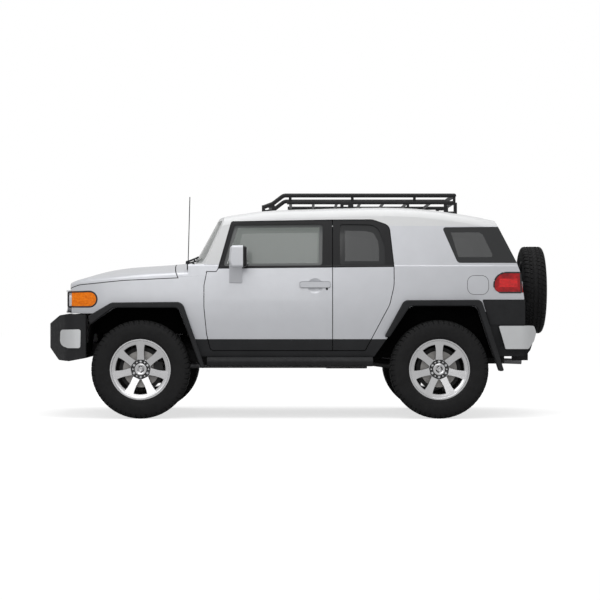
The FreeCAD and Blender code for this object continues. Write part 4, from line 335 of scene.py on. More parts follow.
@dataclass(frozen=True)
class Finish:
    """One finish: its colour and gloss, how much both vary, and its surface grain.

    zones holds pairs of (slabs or rings, other finish): where all of the first overlap, the other
    finish shows instead.
    """

    name: str
    slot: str
    colour: Colour
    roughness: float = 0.5
    metallic: float = 0.0
    coat: float = 0.0
    mottle: float = 0.04
    mottle_scale: float = 6.0
    grain: float = 0.0
    grain_scale: float = 500.0
    alpha: float = 1.0
    dust: float = 0.0
    sheen: float = 0.0
    specular: float = 0.5
    zones: tuple = ()
    smear_swing: float = 0.12
    smear_scale: float = 5.0
    coat_roughness: float = 0.06
    dust_top_z: float = 0.9
    dust_colour: Colour = (0.30, 0.27, 0.23)
    dust_scale: float = 9.0
    dust_thinnest: float = 0.2

    def _tone(self, graph: Graph) -> bpy.types.NodeSocket:
        """The colour, slightly lighter and darker from place to place.

        Args:
            graph: The graph that the nodes go into.

        Returns:
            The colour's socket.
        """
        cloud = graph.noise(self.mottle_scale)
        dark = tuple(c * (1.0 - self.mottle) for c in self.colour)
        light = tuple(min(1.0, c * (1.0 + self.mottle)) for c in self.colour)
        return graph.blend(graph.spread(cloud, 0.0, 1.0), dark, light)

    def _gloss(self, graph: Graph) -> bpy.types.NodeSocket:
        """The roughness, varied by fine smears.

        Args:
            graph: The graph that the nodes go into.

        Returns:
            The roughness's socket.
        """
        smear = graph.noise(self.mottle_scale * self.smear_scale, 5.0)
        smooth, rough = self.roughness * (1.0 - self.smear_swing), self.roughness * (1.0 + self.smear_swing)
        return graph.spread(smear, smooth, min(1.0, rough))

    def _dusty(self, graph: Graph, colour: bpy.types.NodeSocket) -> bpy.types.NodeSocket:
        """The colour under dust that thins out with height and lies in patches.

        Args:
            graph: The graph that the nodes go into.
            colour: The clean colour.

        Returns:
            The dusty colour's socket.
        """
        low = graph.spread(graph.axes.outputs[2], self.dust, 0.0, 0.0, self.dust_top_z)
        patches = graph.spread(graph.noise(self.dust_scale, 6.0), self.dust_thinnest, 1.0)
        veil = graph.calc("MULTIPLY", low, patches)
        return graph.blend(veil, colour, self.dust_colour)

    def material(self) -> bpy.types.Material:
        """Builds the material, once.

        Returns:
            The material.
        """
        made = bpy.data.materials.get(self.name)
        if made is not None:
            return made
        graph = Graph(self.name)
        colour, gloss = self._tone(graph), self._gloss(graph)
        metal: Value = self.metallic
        coat: Value = self.coat
        shine: Value = self.specular
        for places, other in self.zones:
            share = inside_all(graph, places)
            colour = graph.blend(share, colour, other._tone(graph))
            gloss = graph.lean(share, gloss, other.roughness)
            metal = graph.lean(share, metal, other.metallic)
            coat = graph.lean(share, coat, other.coat)
            shine = graph.lean(share, shine, other.specular)
        if self.dust > 0.0:
            colour = self._dusty(graph, colour)
        graph.set("Base Color", colour)
        graph.set("Roughness", gloss)
        graph.set("Metallic", metal)
        graph.set("Coat Weight", coat)
        graph.set("Coat Roughness", self.coat_roughness)
        graph.set("Specular IOR Level", shine)
        if self.sheen > 0.0:
            graph.set("Sheen Weight", self.sheen)
        if self.alpha < 1.0:
            graph.set("Alpha", self.alpha)
        if self.grain > 0.0:
            graph.relief(graph.noise(self.grain_scale, 2.0), self.grain)
        return graph.material


# Finishes

TRIM = Finish("textured_trim", "dark_plastic", (0.017, 0.0175, 0.019), 0.62, grain=0.0004, grain_scale=900.0,
              mottle=0.12, dust=0.02, specular=0.22)
ARCH = Finish("arch_liner", "dark_plastic", (0.004, 0.004, 0.004), 0.9, mottle=0.2, specular=0.03)
FRAME_BLACK = Finish("window_frame_black", "dark_plastic", (0.012, 0.012, 0.013), 0.45, mottle=0.1,
                     specular=0.22)
SILVER = Finish("silver_paint", "body_paint", (0.56, 0.57, 0.60), 0.36, 0.35, coat=0.5, mottle=0.02,
                grain=0.00004, grain_scale=1800.0)
WHITE = Finish("white_roof_paint", "roof_paint", (0.60, 0.605, 0.61), 0.36, coat=0.3, mottle=0.015)
CABIN_TRIM = Finish("cabin_trim", "dark_plastic", (0.10, 0.10, 0.105), 0.7, grain=0.0003, grain_scale=700.0)
CHROME = Finish("satin_silver", "satin_metal", (0.62, 0.63, 0.64), 0.34, 0.35, mottle=0.03)
ALLOY = Finish("bright_alloy", "satin_metal", (0.66, 0.66, 0.67), 0.24, 0.85, coat=0.3, mottle=0.04)
# Dark alloy, painted as shade on the wheel's barrel behind the spokes and round the nuts
BARREL_SHADE = Finish("barrel_shade", "satin_metal", (0.06, 0.06, 0.062), 0.5, 0.3)
STEEL = Finish("brake_steel", "chassis_black", (0.33, 0.32, 0.31), 0.45, 0.8, mottle=0.2, mottle_scale=14.0)
CAST = Finish("cast_metal", "engine_metal", (0.30, 0.30, 0.31), 0.55, 0.6, mottle=0.15, grain=0.0005,
              grain_scale=300.0)
CHASSIS = Finish("chassis_coat", "chassis_black", (0.012, 0.012, 0.0125), 0.6, mottle=0.25, mottle_scale=12.0,
                 grain=0.0003, grain_scale=260.0, dust=0.03, specular=0.15)
RUBBER = Finish("tyre_rubber", "tyre", (0.0125, 0.0125, 0.013), 0.70, mottle=0.14, mottle_scale=18.0,
                grain=0.0003, grain_scale=700.0, specular=0.16)
FABRIC = Finish("seat_weave", "seat_fabric", (0.075, 0.077, 0.085), 0.85, mottle=0.2, mottle_scale=60.0,
                grain=0.0006, grain_scale=1400.0, sheen=0.25)
CLEAR = Finish("clear_tint", "clear_glass", (0.24, 0.265, 0.25), 0.05, alpha=0.52, mottle=0.02)
PRIVACY = Finish("privacy_tint", "clear_glass", (0.095, 0.097, 0.098), 0.05, alpha=0.78, mottle=0.02)
AMBER = Finish("amber_lens", "lamp_amber", (1.0, 0.20, 0.001), 0.30, coat=0.05, mottle=0.22,
               mottle_scale=45.0, grain=0.004, grain_scale=55.0, specular=0.2)
# A brighter red, painted as a highlight in the middle of the tail lamp's lens
RED_HIGHLIGHT = Finish("red_lens_glow", "lamp_red", (0.62, 0.008, 0.010), 0.20, coat=0.15, mottle=0.25,
                  mottle_scale=30.0)
# Painted highlight: a brighter red in the middle of the tail lamp's lens
TAIL_HIGHLIGHT = (Slab((1.0, 0.0, 0.0), -1.965, -1.800), Slab((0.0, 0.0, 1.0), 1.186, 1.262))
RED = Finish("red_lens", "lamp_red", (0.34, 0.004, 0.007), 0.20, coat=0.25, mottle=0.35, mottle_scale=22.0,
             grain=0.003, grain_scale=60.0, specular=0.3, zones=((TAIL_HIGHLIGHT, RED_HIGHLIGHT),))
LENS = Finish("clear_lens", "lamp_clear", (0.80, 0.82, 0.84), 0.08, coat=1.0, alpha=0.35, mottle=0.02)
BOWL = Finish("lamp_bowl", "satin_metal", (0.85, 0.86, 0.88), 0.12, 1.0, mottle=0.03)
SEAL = Finish("rubber_seal", "dark_plastic", (0.014, 0.014, 0.015), 0.55, mottle=0.1)

BELOW_SILL = Slab((0.0, 0.0, 1.0), -OPEN, CLADDING_TOP_Z)
ABOVE_BELT = Slab((BELT_SLOPE, 0.0, 1.0), BELT_Z, OPEN)
BEHIND_WHEEL = (Slab((1.0, 0.0, 0.0), -OPEN, REAR_TRIM_X), Slab((0.0, 0.0, 1.0), -OPEN, REAR_TRIM_TOP_Z))
BEHIND_MIRROR = Slab((1.0, 0.0, 0.0), -OPEN, MIRROR_SPLIT_X)


def zoned(base: Finish, name: str, *zones: tuple) -> Finish:
    """A finish like another, without its grain and with zones: pairs of (slabs or rings, other finish)."""
    return replace(base, name=name, grain=0.0, zones=zones)


def edge_slabs(corners: Outline) -> tuple[Slab, ...]:
    """Half-spaces whose overlap is the inside of a convex side-view outline.

    Args:
        corners: Points (x, z) in order, turning either way.

    Returns:
        One slab per edge, open on the inner side.
    """
    points = np.array(corners)
    middle = points.mean(axis=0)
    slabs = []
    for p, q in zip(points, np.roll(points, -1, axis=0)):
        way = (q - p) / np.linalg.norm(q - p)
        normal = np.array([-way[1], way[0]])
        if normal @ (middle - p) < 0.0:
            normal = -normal
        slabs.append(Slab((float(normal[0]), 0.0, float(normal[1])), float(normal @ p), OPEN))
    return tuple(slabs)


# Meshes

def from_grid(name: str, points: np.ndarray, close_rows: bool, close_columns: bool) -> bpy.types.Object:
    """A smooth mesh from a grid of points, with its faces turned outwards.

    Each face joins four points that are neighbours in row and column.

    Args:
        name: Name of the object.
        points: Array of rows x columns x 3.
        close_rows: Whether the last row joins the first.
        close_columns: Whether the last column joins the first.

    Returns:
        The object.
    """
    rows, columns = points.shape[:2]
    i = np.arange(rows if close_rows else rows - 1)
    j = np.arange(columns if close_columns else columns - 1)
    a, b = np.meshgrid(i, j, indexing="ij")
    a2, b2 = (a + 1) % rows, (b + 1) % columns
    quads = np.stack([a * columns + b, a * columns + b2, a2 * columns + b2, a2 * columns + b], axis=-1)
    return from_faces(name, points.reshape(-1, 3), quads.reshape(-1, 4))


def placed(name: str, data: bpy.types.ID) -> bpy.types.Object:
    """A new object in the scene.

    Args:
        name: Name of the object.
        data: Its mesh, light or camera.

    Returns:
        The object.
    """
    made = bpy.data.objects.new(name, data)
    bpy.context.scene.collection.objects.link(made)
    return made


def from_faces(name: str, points: np.ndarray, faces: np.ndarray) -> bpy.types.Object:
    """A smooth mesh from points and faces. The faces' order is turned where the signed volume is negative.

    Args:
        name: Name of the object.
        points: Array of n x 3.
        faces: Array of m x 3 or m x 4 indices.

    Returns:
        The object.
    """
    first, second, third = points[faces[:, 0]], points[faces[:, 1]], points[faces[:, 2]]
    volume = np.einsum("ij,ij->i", first, np.cross(second, third)).sum()
    if faces.shape[1] == 4:
        volume += np.einsum("ij,ij->i", first, np.cross(third, points[faces[:, 3]])).sum()
    if volume < 0.0:
        faces = faces[:, ::-1]
    mesh = bpy.data.meshes.new(name)
    mesh.from_pydata(points.tolist(), [], faces.tolist())
    mesh.polygons.foreach_set("use_smooth", np.ones(len(mesh.polygons), dtype=bool))
    mesh.update()
    return placed(name, mesh)


def laid(axis: Axis, along: np.ndarray, across: np.ndarray, up: np.ndarray) -> np.ndarray:
    """Points about an axle, put in the order x, y, z."""
    return np.stack((across, along, up) if axis is Axis.ACROSS else (along, across, up), axis=-1)


def lathe(profile: Outline, segments: int, axis: Axis = Axis.ACROSS) -> np.ndarray:
    """A profile turned about an axle through the origin.

    Each point (along, radius) goes round the axle at equal angles.

    Args:
        profile: Points (distance along the axle, radius).
        segments: Number of steps round.
        axis: Direction of the axle.

    Returns:
        Array of points x segments x 3.
    """
    line = np.array(profile)
    angle = np.linspace(0.0, 2.0 * math.pi, segments, endpoint=False)
    along = np.repeat(line[:, :1], segments, axis=1)
    sideways, up = np.outer(line[:, 1], np.cos(angle)), np.outer(line[:, 1], np.sin(angle))
    return laid(axis, along, sideways, up)


def tube(points: np.ndarray, radius: float, sides: int) -> np.ndarray:
    """A round section carried along a closed path, kept upright by the path's mean normal.

    Args:
        points: Array of n x 3 points of the path.
        radius: Radius of the section.
        sides: Points round the section.

    Returns:
        Array of n x sides x 3.
    """
    ahead = np.roll(points, -1, axis=0) - np.roll(points, 1, axis=0)
    ahead /= np.linalg.norm(ahead, axis=1, keepdims=True)
    centred = points - points.mean(axis=0)
    normal = np.linalg.svd(centred, full_matrices=False)[2][2]
    side = np.cross(ahead, normal)
    side /= np.linalg.norm(side, axis=1, keepdims=True)
    up = np.cross(side, ahead)
    angle = np.linspace(0.0, 2.0 * math.pi, sides, endpoint=False)
    ring = side[:, None] * np.cos(angle)[None, :, None] + up[:, None] * np.sin(angle)[None, :, None]
    return points[:, None] + radius * ring


def rounded(corners: RoundedOutline, steps: int = 10) -> np.ndarray:
    """A closed outline with each corner rounded by a tangent arc.

    The arc's middle lies on the corner's bisector, at the radius over the sine of half the angle,
    and the arc sweeps the short way between the two points where it touches the sides.

    Args:
        corners: Points (u, v, radius).
        steps: Points on each arc.

    Returns:
        Array of n x 2.
    """
    result = []
    for i, (u, v, radius) in enumerate(corners):
        p = np.array([u, v])
        a = np.array(corners[i - 1][:2]) - p
        b = np.array(corners[(i + 1) % len(corners)][:2]) - p
        a, b = a / np.linalg.norm(a), b / np.linalg.norm(b)
        half = math.acos(float(np.clip(a @ b, -1.0, 1.0))) / 2.0
        middle = p + (a + b) / np.linalg.norm(a + b) * (radius / math.sin(half))
        start, end = p + a * radius / math.tan(half) - middle, p + b * radius / math.tan(half) - middle
        first = math.atan2(start[1], start[0])
        sweep = (math.atan2(end[1], end[0]) - first + math.pi) % (2.0 * math.pi) - math.pi
        turn = first + sweep * np.linspace(0.0, 1.0, steps)
        result.append(middle + radius * np.stack([np.cos(turn), np.sin(turn)], axis=1))
    return np.concatenate(result)


def spaced(outline: np.ndarray, count: int) -> np.ndarray:
    """The closed outline again, with evenly spaced points.

    Both coordinates are interpolated over the length that has run along the outline.

    Args:
        outline: Array of n x 2.
        count: Number of points wanted.

    Returns:
        Array of count x 2.
    """
    ring = np.vstack([outline, outline[:1]])
    run = np.concatenate([[0.0], np.cumsum(np.linalg.norm(np.diff(ring, axis=0), axis=1))])
    wanted = np.linspace(0.0, run[-1], count, endpoint=False)
    return np.stack([np.interp(wanted, run, ring[:, 0]), np.interp(wanted, run, ring[:, 1])], axis=1)


def mesh_arrays(mesh: bpy.types.Mesh) -> tuple[np.ndarray, list[np.ndarray]]:
    """A mesh's points and faces, read as whole arrays.

    Args:
        mesh: The mesh.

    Returns:
        Array of n x 3 points, and one array of point indices per face.
    """
    points = np.empty(len(mesh.vertices) * 3)
    mesh.vertices.foreach_get("co", points)
    corners = np.empty(len(mesh.loops), dtype=np.int32)
    mesh.loops.foreach_get("vertex_index", corners)
    starts = np.empty(len(mesh.polygons), dtype=np.int32)
    mesh.polygons.foreach_get("loop_start", starts)
    return points.reshape(-1, 3), np.split(corners, starts[1:])


def joined(name: str, pieces: Sequence[bpy.types.Object], sharp: float = 38.0) -> bpy.types.Object:
    """Several meshes of one material each as one object.

    Args:
        name: Name of the result.
        pieces: The objects to join, which are used up.
        sharp: Angle in degrees above which an edge is sharp.

    Returns:
        The joined object.
    """
    points, faces, marks, start = [], [], [], 0
    materials: list[bpy.types.Material] = []
    for piece in pieces:
        own_points, own_faces = mesh_arrays(piece.data)
        material = piece.data.materials[0]
        if material not in materials:
            materials.append(material)
        points.append(own_points)
        faces.extend((face + start).tolist() for face in own_faces)
        marks.extend([materials.index(material)] * len(own_faces))
        start += len(own_points)
        bpy.data.objects.remove(piece)
    mesh = bpy.data.meshes.new(name)
    mesh.from_pydata(np.vstack(points).tolist(), [], faces)
    for material in materials:
        mesh.materials.append(material)
    mesh.polygons.foreach_set("material_index", marks)
    mesh.polygons.foreach_set("use_smooth", np.ones(len(mesh.polygons), dtype=bool))
    mesh.set_sharp_from_angle(angle=math.radians(sharp))
    return placed(name, mesh)


def finished(piece: bpy.types.Object, finish: Finish, body: str, sharp: float = 180.0) -> bpy.types.Object:
    """Dresses a new piece and lets it ride on a body.

    Args:
        piece: The object.
        finish: Its finish.
        body: The body that carries it.
        sharp: Angle in degrees above which an edge is sharp.

    Returns:
        The same object.
    """
    if not piece.data.materials:
        piece.data.materials.append(finish.material())
    if sharp < 180.0:
        piece.data.set_sharp_from_angle(angle=math.radians(sharp))
    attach(piece, body)
    LOG.info("%s: %d faces on %s", piece.name, len(piece.data.polygons), body)
    return piece


def tree_of(*names: str) -> BVHTree:
    """A search tree over some nodes' meshes.

    Args:
        names: Names of the nodes.

    Returns:
        The tree, in the vehicle's frame.
    """
    points: list[list[float]] = []
    faces: list[list[int]] = []
    for name in names:
        own_points, own_faces = mesh_arrays(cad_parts[name].data)
        faces.extend((face + len(points)).tolist() for face in own_faces)
        points.extend(own_points.tolist())
    return BVHTree.FromPolygons(points, faces)


def coated(name: str, slot: str, *materials: bpy.types.Material) -> bpy.types.Mesh:
    """Swaps a node's materials for others.

    Args:
        name: Name of the node.
        slot: Not used.
        materials: The new materials.

    Returns:
        The node's mesh.
    """
    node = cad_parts[name]
    node.data.materials.clear()
    for material in materials:
        node.data.materials.append(material)
    return node.data


def painted(name: str, finish: Finish) -> None:
    """Gives a whole node one finish."""
    coated(name, finish.slot, finish.material())


def face_vectors(mesh: bpy.types.Mesh, kind: str) -> np.ndarray:
    """The normals or the centres of a mesh's faces.

    Args:
        mesh: The mesh.
        kind: Blender's name of the vector, "normal" or "center".

    Returns:
        Array of n x 3.
    """
    values = np.empty(len(mesh.polygons) * 3)
    mesh.polygons.foreach_get(kind, values)
    return values.reshape(-1, 3)


def on_surface(tree: BVHTree, starts: np.ndarray, way: Point) -> np.ndarray:
    """Where rays from some points meet a surface.

    Args:
        tree: The surface.
        starts: Array of n x 3 ray starts.
        way: Direction of the rays.

    Returns:
        Array of n x 3; a ray that misses takes the depth of the one before it.
    """
    direction = Vector(way)
    hits, last = [], 0.0
    for start in starts:
        hit = tree.ray_cast(Vector(start), direction)
        last = hit[3] if hit[0] is not None else last
        hits.append(start + np.array(way) * last)
    return np.array(hits)


# Sub-assemblies

@dataclass
class Bodywork:
    """Paint, trim and cabin lining on the body's own nodes."""

    doors: tuple[str, ...] = ("front_door_left", "front_door_right", "rear_door_left", "rear_door_right")
    sides: tuple[str, ...] = ("body_side_left", "body_side_right")
    silver_nodes: tuple[str, ...] = ("cowl_panel", "hood", "tailgate", "rear_panel")
    trim_nodes: tuple[str, ...] = (
        "wheel_flares", "front_bumper", "rear_bumper", "side_steps", "cowl_trim", "grille",
    )
    middle_x: float = -0.5
    middle_z: float = 0.9
    middle_reach: float = 0.6
    inner_share: float = 0.35

    def lined(self, name: str, outside: Finish) -> None:
        """Paints a wall outside and lines it inside.

        A face is inside where its normal points towards the cabin's middle line at sill height,
        at most middle_reach along it.

        Args:
            name: Name of the node.
            outside: Finish of the outer faces.
        """
        mesh = coated(name, outside.slot, outside.material(), CABIN_TRIM.material())
        normals, centres = face_vectors(mesh, "normal"), face_vectors(mesh, "center")
        inward = -centres
        inward[:, 2] = self.middle_z - centres[:, 2]
        inward[:, 0] = np.clip(self.middle_x - centres[:, 0], -self.middle_reach, self.middle_reach)
        inward /= np.linalg.norm(inward, axis=1, keepdims=True)
        inner = (np.einsum("ij,ij->i", normals, inward) > self.inner_share).astype(np.int32)
        mesh.polygons.foreach_set("material_index", inner)
        mesh.update()

    def build(self) -> None:
        """Dresses every body node."""
        door_paint = zoned(SILVER, "door_paint", ((ABOVE_BELT,), FRAME_BLACK), ((BELOW_SILL,), TRIM))
        side_paint = zoned(SILVER, "side_paint", ((BELOW_SILL,), TRIM), (BEHIND_WHEEL, TRIM))
        mirror_paint = zoned(SILVER, "mirror_paint", ((BEHIND_MIRROR,), FRAME_BLACK))
        for name in self.doors:
            self.lined(name, door_paint)
        for name in self.sides:
            self.lined(name, side_paint)
        self.lined("front_fenders", side_paint)
        for name in self.silver_nodes:
            self.lined(name, SILVER)
        self.lined("roof_panel", WHITE)
        for name in self.trim_nodes:
            painted(name, TRIM)
        painted("roof_rack", FRAME_BLACK)
        painted("bumper_corners", CHROME)
        painted("wheel_liners", ARCH)
        painted("firewall", CHASSIS)
        painted("floor_pan", CHASSIS)
        painted("dashboard", CABIN_TRIM)
        for side in Side:
            painted(f"mirror_{side.word}", mirror_paint)
        LOG.info("bodywork dressed")


@dataclass
class Glazing:
    """Window glass: clear in front, dark behind, with printed borders on the side panes."""

    front_border: Colour = (0.075, 0.080, 0.080)
    rear_border: Colour = (0.020, 0.021, 0.022)
    border_mottle: float = 0.1
    border_alpha: float = 0.985
    roughness: tuple[float, float] = (0.05, 0.07)

    def bordered(self, name: str, tint: Finish, corners: Outline, border: Colour) -> bpy.types.Material:
        """Glass with a dark printed border round a clear middle.

        Args:
            name: Name of the material.
            tint: Finish of the middle.
            corners: Side-view outline of the middle.
            border: Colour of the border.

        Returns:
            The material.
        """
        graph = Graph(name)
        share = inside_all(graph, edge_slabs(corners))
        dark = tuple(c * (1.0 - self.border_mottle) for c in border)
        edge = graph.blend(graph.noise(4.0), dark, border)
        graph.set("Base Color", graph.blend(share, edge, tint.colour))
        graph.set("Roughness", graph.spread(graph.noise(5.0), *self.roughness))
        graph.set("Alpha", graph.spread(share, self.border_alpha, tint.alpha, 0.0, 1.0))
        return graph.material

    def build(self) -> None:
        """Dresses every pane."""
        front = self.bordered("front_door_glass", CLEAR, FRONT_DOOR_CLEAR, self.front_border)
        rear = self.bordered("rear_door_glass", PRIVACY, REAR_DOOR_CLEAR, self.rear_border)
        for side in Side:
            coated(f"front_window_{side.word}", CLEAR.slot, front)
            coated(f"rear_window_{side.word}", CLEAR.slot, rear)
        painted("tailgate_glass", PRIVACY)
        quarter = self.bordered("quarter_glass", PRIVACY, QUARTER_CLEAR, self.rear_border)
        mesh = coated("fixed_glass", CLEAR.slot, CLEAR.material(), quarter)
        behind = face_vectors(mesh, "center")[:, 0] < 0.0
        mesh.polygons.foreach_set("material_index", behind.astype(np.int32))
        mesh.update()
        LOG.info("glass dressed")


@dataclass
class RunningGear:
    """Finishes of the chassis, axles, engine and exhaust."""

    coated: tuple[str, ...] = ("chassis_frame", "front_suspension", "fuel_tank", "drivetrain")
    cast: tuple[str, ...] = ("engine_block", "exhaust")
    disc_inner: float = 0.793
    disc_outer: float = 0.8185

    def build(self) -> None:
        """Dresses the nodes under the body."""
        for name in self.coated:
            painted(name, CHASSIS)
        for name in self.cast:
            painted(name, CAST)
        left = Slab((0.0, 1.0, 0.0), self.disc_inner, self.disc_outer)
        right = Slab((0.0, -1.0, 0.0), self.disc_inner, self.disc_outer)
        hubs = Finish("hub_and_disc", CHASSIS.slot, CHASSIS.colour, CHASSIS.roughness, mottle=CHASSIS.mottle,
                      zones=(((left,), STEEL), ((right,), STEEL)))
        for name in ("rear_axle", "knuckle_left", "knuckle_right"):
            painted(name, hubs)
        LOG.info("running gear dressed")


@dataclass
class Tyre:
    """An all-terrain tyre: ribs and blocks cut into the tread, and slots round the shoulder.

    The rows of the grid run across the tyre and its columns round it. Columns are gathered at the
    lateral grooves and rows at the circumferential ones, so that each groove has crisp walls.
    """

    node: str
    body: str
    centre: Point
    radius: float
    rim: float
    width: float
    bead: float
    axis: Axis = Axis.ACROSS
    pitches: int = 56
    shoulder: float = 0.030
    middle_rib: float = 0.014
    groove_places: tuple[float, ...] = (0.24, 0.64)
    groove_half: float = 0.0048
    groove_depth: float = 0.0085
    groove_flare: float = 1.45
    zigzag: float = 0.0045
    sway_margin: float = 0.004
    slot_depth: float = 0.0105
    middle_cut: float = 0.25
    rib_cut: float = 0.9
    shear: float = 0.9
    other_side_shift: float = 0.5
    steep_start: float = 0.008
    steep_run: float = 0.020
    steep_share: float = 0.7
    sharp: float = 32.0

    def across(self) -> tuple[np.ndarray, np.ndarray, np.ndarray, np.ndarray]:
        """The section's rows.

        Returns:
            Place along the axle, radius, depth of circumferential groove and share of lateral groove.
        """
        half = self.width / 2.0
        tread = half - self.shoulder
        top, rim, bead = self.radius, self.rim, self.bead
        rows = [(0.0, top, 0.0, self.middle_cut), (self.middle_rib, top, 0.0, self.middle_cut)]
        flare = self.groove_flare
        for place in self.groove_places:
            for shift, depth in ((-flare, 0.0), (-1.0, 1.0), (1.0, 1.0), (flare, 0.0)):
                inner = place == self.groove_places[0] and shift < 0.0
                cut = self.middle_cut if inner else self.rib_cut
                rows.append((place * tread + shift * self.groove_half, top, depth * self.groove_depth, cut))
        # Place across, radius and share of lateral groove, from the last rib round the shoulder
        shoulder = [
            (0.82 * tread, top - 0.001, 1.0), (0.97 * tread, top - 0.004, 1.0),
            (tread + 0.007, top - 0.010, 1.0), (tread + 0.014, top - 0.020, 0.95),
            (tread + 0.019, top - 0.031, 0.75),
        ]
        # Place across and radius, down the sidewall and round the bead to the inner wall
        sidewall = [
            (tread + 0.0215, top - 0.038), (tread + 0.0245, top - 0.046), (half - 0.0030, top - 0.060),
            (half - 0.0008, top - 0.080), (half - 0.0010, rim + 0.075), (half - 0.0035, rim + 0.052),
            (half - 0.0095, rim + 0.034), (half - 0.0100, rim + 0.029), (half - 0.0160, rim + 0.020),
            (bead + 0.0135, rim + 0.0092), (bead, rim + 0.0003), (bead - 0.0035, rim + 0.010),
            (bead * 0.4, rim + 0.014),
        ]
        rows += [(across, radius, 0.0, cut) for across, radius, cut in shoulder]
        rows += [(across, radius, 0.0, 0.0) for across, radius in sidewall]
        side = np.array(rows)
        other = side[:0:-1] * np.array([-1.0, 1.0, 1.0, 1.0])
        whole = np.vstack([side, other])
        return whole[:, 0], whole[:, 1], whole[:, 2], whole[:, 3]

    def around(self) -> tuple[np.ndarray, np.ndarray]:
        """The steps of one pitch.

        Returns:
            Place within the pitch and depth share of the lateral groove there.
        """
        place = np.array([-0.16, -0.10, 0.10, 0.16, 0.34, 0.475, 0.5, 0.525, 0.68])
        depth = np.array([0.0, 1.0, 1.0, 0.0, 0.0, 0.0, 0.35, 0.0, 0.0])
        return place, depth

    def points(self) -> np.ndarray:
        """The tyre's grid.

        A point's angle is its pitch number plus its place in the pitch, sheared by its distance
        across, and by a part of a pitch more on the other side. Its radius is the section's, less
        the deeper of the two grooves that meet there. On the steep shoulder, a groove also goes
        inwards along the axle. The ribs sway by a triangle wave of the pitch, fading to the shoulder.

        Returns:
            Array of rows x columns x 3, about the wheel's centre.
        """
        along, radius, ring_depth, lateral = self.across()
        place, depth = self.around()
        columns = (np.arange(self.pitches)[:, None] + place[None, :]).ravel()
        cut = np.tile(depth, self.pitches)
        half = self.width / 2.0
        sway_end = half - self.shoulder - self.sway_margin
        share = np.clip(np.abs(along) / half, 0.0, 1.0)
        shear = self.shear * share * np.sign(along) + self.other_side_shift * (along < 0.0)
        angle = (columns[None, :] + shear[:, None]) * 2.0 * math.pi / self.pitches
        shift = np.abs((columns * 2.0) % 2.0 - 1.0) * 2.0 - 1.0
        sway = self.zigzag * np.clip(1.0 - np.abs(along) / sway_end, 0.0, 1.0) ** 0.5
        sideways = along[:, None] + sway[:, None] * shift[None, :]
        groove = np.maximum(ring_depth[:, None], self.slot_depth * lateral[:, None] * cut[None, :])
        reach = radius[:, None] - groove
        steep = np.clip((self.radius - radius - self.steep_start) / self.steep_run, 0.0, 1.0)[:, None]
        sideways = sideways - np.sign(along)[:, None] * groove * steep * self.steep_share
        round_x, round_z = reach * np.cos(angle), reach * np.sin(angle)
        return laid(self.axis, sideways, round_x, round_z) + np.array(self.centre)

    def build(self) -> bpy.types.Object:
        """Makes the tyre and takes the place of its plain ring.

        Returns:
            The tyre.
        """
        tyre = from_grid(f"{self.node}_treaded", self.points(), True, True)
        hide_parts(self.node)
        return finished(tyre, RUBBER, self.body, self.sharp)


